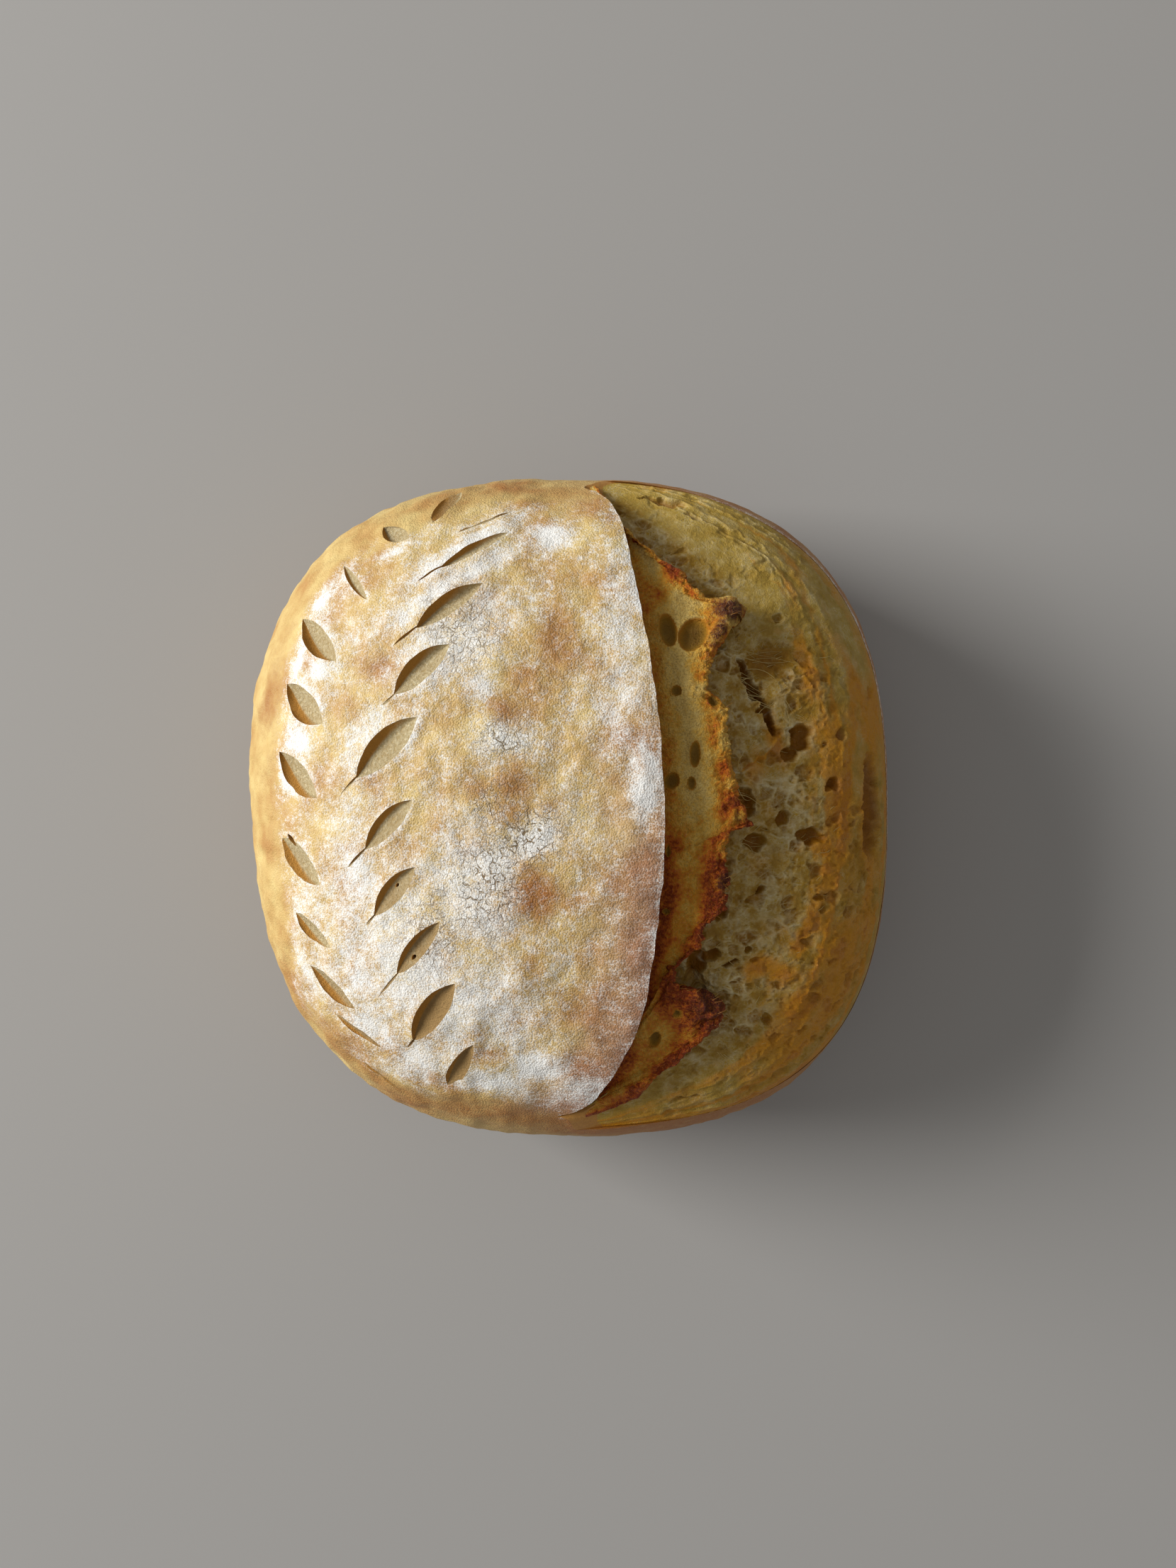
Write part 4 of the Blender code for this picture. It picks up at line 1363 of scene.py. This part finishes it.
# Stretched dough that baked in the open: khaki, then orange, brown and burnt towards the torn edge.
def toastedLip():
    material, tree = newMaterial("toastedLip")
    place = addNode(tree, "ShaderNodeTexCoord").outputs["Object"]
    toast, burnt, window = (
        addNode(tree, "ShaderNodeAttribute", {"attribute_name": name}).outputs["Fac"]
        for name in ("toast", "burnt", "window")
    )
    grain = addNode(
        tree, "ShaderNodeTexNoise", {"Scale": 1 / (1.1 * mm), "Detail": 4.0, "Roughness": 0.7},
        {"Vector": place},
    ).outputs["Fac"]
    shift = addNode(tree, "ShaderNodeMath", {"operation": "MULTIPLY_ADD", 1: 1.3, 2: -0.65}, {0: grain})
    heat = addNode(
        tree, "ShaderNodeMath", {"operation": "ADD", "use_clamp": True}, {0: toast, 1: shift.outputs[0]}
    )
    tone = addNode(tree, "ShaderNodeValToRGB", {}, {"Fac": heat.outputs[0]})
    tone.color_ramp.elements[0].color = hexColour("#F2D078")
    tone.color_ramp.elements[1].color = hexColour("#8C3204")
    for position, code in ((0.28, "#EEBE50"), (0.54, "#E49A24"), (0.80, "#CC640C")):
        tone.color_ramp.elements.new(position).color = hexColour(code)
    char = addNode(
        tree, "ShaderNodeMath", {"operation": "ADD", "use_clamp": True}, {0: burnt, 1: shift.outputs[0]}
    )
    charred = addNode(
        tree, "ShaderNodeMapRange", {"From Min": 0.35, "From Max": 0.95}, {"Value": char.outputs[0]}
    )
    dark = addNode(
        tree, "ShaderNodeMix", {"data_type": "RGBA", 7: hexColour("#541C0C")},
        {0: charred.outputs[0], 6: tone.outputs["Color"]},
    )
    fine = addNode(
        tree, "ShaderNodeTexNoise", {"Scale": 1 / (0.55 * mm), "Detail": 2.0, "Roughness": 0.7},
        {"Vector": place},
    ).outputs["Fac"]
    # painted light on the fine relief: its pits darker, painted shade, and flecks on its grains lighter,
    # painted highlights
    pits = addNode(
        tree, "ShaderNodeMapRange", {"From Min": 0.52, "From Max": 0.40, "To Max": 0.38}, {"Value": fine}
    )
    grains = addNode(
        tree, "ShaderNodeMapRange", {"From Min": 0.56, "From Max": 0.68, "To Max": 0.7}, {"Value": fine}
    )
    pitShaded = addNode(
        tree, "ShaderNodeMix", {"data_type": "RGBA", 7: hexColour("#9A6218")},
        {0: pits.outputs[0], 6: dark.outputs[2]},
    )
    mild = addNode(
        tree, "ShaderNodeMath", {"operation": "SUBTRACT", 0: 1.0, "use_clamp": True}, {1: heat.outputs[0]}
    )
    highlightFlecks = addNode(
        tree, "ShaderNodeMath", {"operation": "MULTIPLY"}, {0: grains.outputs[0], 1: mild.outputs[0]}
    )
    highlightedGrain = addNode(
        tree, "ShaderNodeMix", {"data_type": "RGBA", 7: hexColour("#F0D795")},
        {0: highlightFlecks.outputs[0], 6: pitShaded.outputs[2]},
    )
    skin = addNode(tree, "ShaderNodeValToRGB", {}, {"Fac": window})
    skin.color_ramp.elements[0].position, skin.color_ramp.elements[0].color = 0.15, hexColour("#D08A22")
    skin.color_ramp.elements[1].position, skin.color_ramp.elements[1].color = 0.95, hexColour("#94702A")
    skin.color_ramp.elements.new(0.6).color = hexColour("#B08224")
    stretched = addNode(tree, "ShaderNodeMapRange", {"From Min": 0.02, "From Max": 0.25}, {"Value": window})
    glass = addNode(
        tree, "ShaderNodeMix", {"data_type": "RGBA"},
        {0: stretched.outputs[0], 6: highlightedGrain.outputs[2], 7: skin.outputs["Color"]},
    )
    rise = addNode(tree, "ShaderNodeMath", {"operation": "MULTIPLY_ADD", 1: 0.6}, {0: fine, 2: grain})
    bump = addNode(
        tree, "ShaderNodeBump", {"Strength": 1.0, "Distance": 0.9 * mm}, {"Height": rise.outputs[0]}
    )
    surface = addNode(
        tree, "ShaderNodeBsdfPrincipled", {"Roughness": 0.5, "Specular IOR Level": 0.3},
        {"Base Color": glass.outputs[2], "Normal": bump.outputs[0]},
    )
    addNode(tree, "ShaderNodeOutputMaterial", {}, {"Surface": surface.outputs[0]})
    return material


def steamedCrumb():  # torn open crumb: gelled starch, olive gold, with pale thin cell walls over dim floors, and painted shade darkening its deep cells and hollows
    material, tree = newMaterial("steamedCrumb")
    place = addNode(tree, "ShaderNodeTexCoord").outputs["Object"]
    poreShade, toast, wall, tight = (
        addNode(tree, "ShaderNodeAttribute", {"attribute_name": name}).outputs["Fac"]
        for name in ("poreShade", "toast", "wall", "tight")
    )
    broad = addNode(
        tree, "ShaderNodeTexNoise", {"Scale": 1 / (6 * mm), "Detail": 4.0, "Roughness": 0.65},
        {"Vector": place},
    ).outputs["Fac"]
    grain = addNode(
        tree, "ShaderNodeTexNoise", {"Scale": 1 / (0.8 * mm), "Detail": 3.0, "Roughness": 0.7},
        {"Vector": place},
    ).outputs["Fac"]
    floorShare = addNode(tree, "ShaderNodeMapRange", {"From Min": 0.35, "From Max": 0.65}, {"Value": broad})
    floor = addNode(
        tree, "ShaderNodeMix", {"data_type": "RGBA", 6: hexColour("#9A7214"), 7: hexColour("#B2902A")},
        {0: floorShare.outputs[0]},
    )
    # where the dough only stretched it keeps a tight olive skin
    skinShare = addNode(tree, "ShaderNodeMath", {"operation": "MULTIPLY", 1: 0.6}, {0: tight})
    skin = addNode(
        tree, "ShaderNodeMix", {"data_type": "RGBA", 7: hexColour("#B49C4C")},
        {0: skinShare.outputs[0], 6: floor.outputs[2]},
    )
    shift = addNode(tree, "ShaderNodeMath", {"operation": "MULTIPLY_ADD", 1: 0.7, 2: -0.35}, {0: broad})
    heat = addNode(
        tree, "ShaderNodeMath", {"operation": "ADD", "use_clamp": True}, {0: toast, 1: shift.outputs[0]}
    )
    golden = addNode(
        tree, "ShaderNodeMapRange", {"From Min": 0.25, "From Max": 0.75}, {"Value": heat.outputs[0]}
    )
    ochre = addNode(
        tree, "ShaderNodeMix", {"data_type": "RGBA", 7: hexColour("#C48618")},
        {0: golden.outputs[0], 6: skin.outputs[2]},
    )
    hottest = addNode(
        tree, "ShaderNodeMapRange", {"From Min": 0.85, "From Max": 1.1}, {"Value": heat.outputs[0]}
    )
    brown = addNode(
        tree, "ShaderNodeMix", {"data_type": "RGBA", 7: hexColour("#B06A0C")},
        {0: hottest.outputs[0], 6: ochre.outputs[2]},
    )
    # painted shade: the deeper the cell or hollow, the more of a dark brown it takes
    deepShade = addNode(
        tree, "ShaderNodeMapRange", {"From Min": 0.10, "From Max": 0.8, "To Max": 0.88}, {"Value": poreShade}
    )
    holeShade = addNode(
        tree, "ShaderNodeMix", {"data_type": "RGBA", 7: hexColour("#8A5608")},
        {0: deepShade.outputs[0], 6: brown.outputs[2]},
    )
    # threads: the finest cell walls, 0.1 to 0.2 mm thick and 1.2 mm apart
    bend = addNode(tree, "ShaderNodeTexNoise", {"Scale": 1 / (1.5 * mm), "Detail": 2.0}, {"Vector": place})
    bent = addNode(
        tree, "ShaderNodeVectorMath", {"operation": "MULTIPLY_ADD", 1: (1.8 * mm,) * 3},
        {0: bend.outputs["Color"], 2: place},
    )
    mesh = addNode(
        tree, "ShaderNodeTexVoronoi", {"feature": "DISTANCE_TO_EDGE", "Scale": 1 / (1.2 * mm)},
        {"Vector": bent.outputs[0]},
    )
    thread = addNode(
        tree, "ShaderNodeMapRange", {"From Min": 0.02, "From Max": 0.12, "To Min": 0.42, "To Max": 0.0},
        {"Value": mesh.outputs["Distance"]},
    )
    webbed = addNode(tree, "ShaderNodeMapRange", {"From Min": 0.44, "From Max": 0.60}, {"Value": broad})
    shallow = addNode(tree, "ShaderNodeMath", {"operation": "SUBTRACT", 0: 1.0}, {1: deepShade.outputs[0]})
    spread = addNode(
        tree, "ShaderNodeMath", {"operation": "MULTIPLY"}, {0: webbed.outputs[0], 1: shallow.outputs[0]}
    )
    web = addNode(
        tree, "ShaderNodeMath", {"operation": "MULTIPLY"}, {0: thread.outputs[0], 1: spread.outputs[0]}
    )
    cool = addNode(
        tree, "ShaderNodeMath", {"operation": "MULTIPLY_ADD", 1: -0.75, 2: 1.0}, {0: golden.outputs[0]}
    )
    ridge = addNode(tree, "ShaderNodeMath", {"operation": "MAXIMUM"}, {0: wall, 1: web.outputs[0]})
    patchy = addNode(
        tree, "ShaderNodeMapRange", {"From Min": 0.40, "From Max": 0.60, "To Min": 0.1}, {"Value": broad}
    )
    patched = addNode(
        tree, "ShaderNodeMath", {"operation": "MULTIPLY"}, {0: cool.outputs[0], 1: patchy.outputs[0]}
    )
    paleShare = addNode(
        tree, "ShaderNodeMath", {"operation": "MULTIPLY", "use_clamp": True},
        {0: ridge.outputs[0], 1: patched.outputs[0]},
    )
    colour = addNode(
        tree, "ShaderNodeMix", {"data_type": "RGBA", 7: hexColour("#DAD0AE")},
        {0: paleShare.outputs[0], 6: holeShade.outputs[2]},
    )
    height = addNode(
        tree, "ShaderNodeMath", {"operation": "MULTIPLY_ADD", 1: 0.5}, {0: grain, 2: thread.outputs[0]}
    )
    bump = addNode(
        tree, "ShaderNodeBump", {"Strength": 0.6, "Distance": 0.3 * mm}, {"Height": height.outputs[0]}
    )
    surface = addNode(
        tree, "ShaderNodeBsdfPrincipled",
        {
            "Roughness": 0.5, "Specular IOR Level": 0.25,
            "Subsurface Weight": 0.1, "Subsurface Radius": (3 * mm, 2 * mm, 1 * mm), "Subsurface Scale": 1.0,
        },
        {"Base Color": colour.outputs[2], "Normal": bump.outputs[0]},
    )
    addNode(tree, "ShaderNodeOutputMaterial", {}, {"Surface": surface.outputs[0]})
    return material


def paleBoard():  # the floor: a plain pale matt board
    material, tree = newMaterial("paleBoard")
    surface = addNode(
        tree, "ShaderNodeBsdfPrincipled", {"Base Color": hexColour("#ABA9A6"), "Roughness": 0.9}
    )
    addNode(tree, "ShaderNodeOutputMaterial", {}, {"Surface": surface.outputs[0]})
    return material


# The floor, the light and the camera.
stage = {
    "floorSize": 4.0,
    "lampPlace": Vector((-2.70, 0.75, 1.25)),
    "lampSize": 1.5,
    "lampEnergy": 120.0,
    "lampColour": (1.0, 0.99, 0.975),
    "fillEnergy": 0.33,
    "cameraPlace": Vector((6.6 * mm, 8.1 * mm, 437 * mm)),
    "lens": 26,
    "sensorWidth": 36,
}


def makeStage():
    bpy.ops.object.select_all(action="DESELECT")
    bpy.ops.mesh.primitive_plane_add(size=stage["floorSize"])
    floor = bpy.context.object
    floor.name = "paleFloor"
    floor.data.materials.append(paleBoard())
    bpy.ops.object.light_add(type="AREA", location=stage["lampPlace"])
    lamp = bpy.context.object
    lamp.data.shape, lamp.data.size = "SQUARE", stage["lampSize"]
    lamp.data.energy = stage["lampEnergy"]
    lamp.data.color = stage["lampColour"]
    lamp.rotation_euler = (-stage["lampPlace"]).to_track_quat("-Z", "Y").to_euler()
    world = bpy.data.worlds.new("softRoom")
    bpy.context.scene.world = world
    world.use_nodes = True
    backdrop = world.node_tree.nodes["Background"]
    backdrop.inputs["Color"].default_value = hexColour("#ECEAE8")
    backdrop.inputs["Strength"].default_value = stage["fillEnergy"]
    bpy.ops.object.camera_add(location=stage["cameraPlace"], rotation=(0, 0, 0))
    camera = bpy.context.object
    camera.data.lens, camera.data.sensor_width = stage["lens"], stage["sensorWidth"]
    bpy.context.scene.camera = camera
    bpy.context.scene.view_settings.view_transform = "Standard"
    print("stage: floor, lamp and camera set")


materials = [flouredCrust(), cutDough(), toastedCleft()]
body = makeCrust(materials)
paintCrust(body)
finishPiece(body, crust["sharpAngle"])
strip = makeLip(toastedLip())
crumbs = makeCrumb(steamedCrumb())
makeThreads(strip, crumbs, glutenThread("paleThread", "#CDB878"), glutenThread("toastedThread", "#AC7430"))
makeStage()
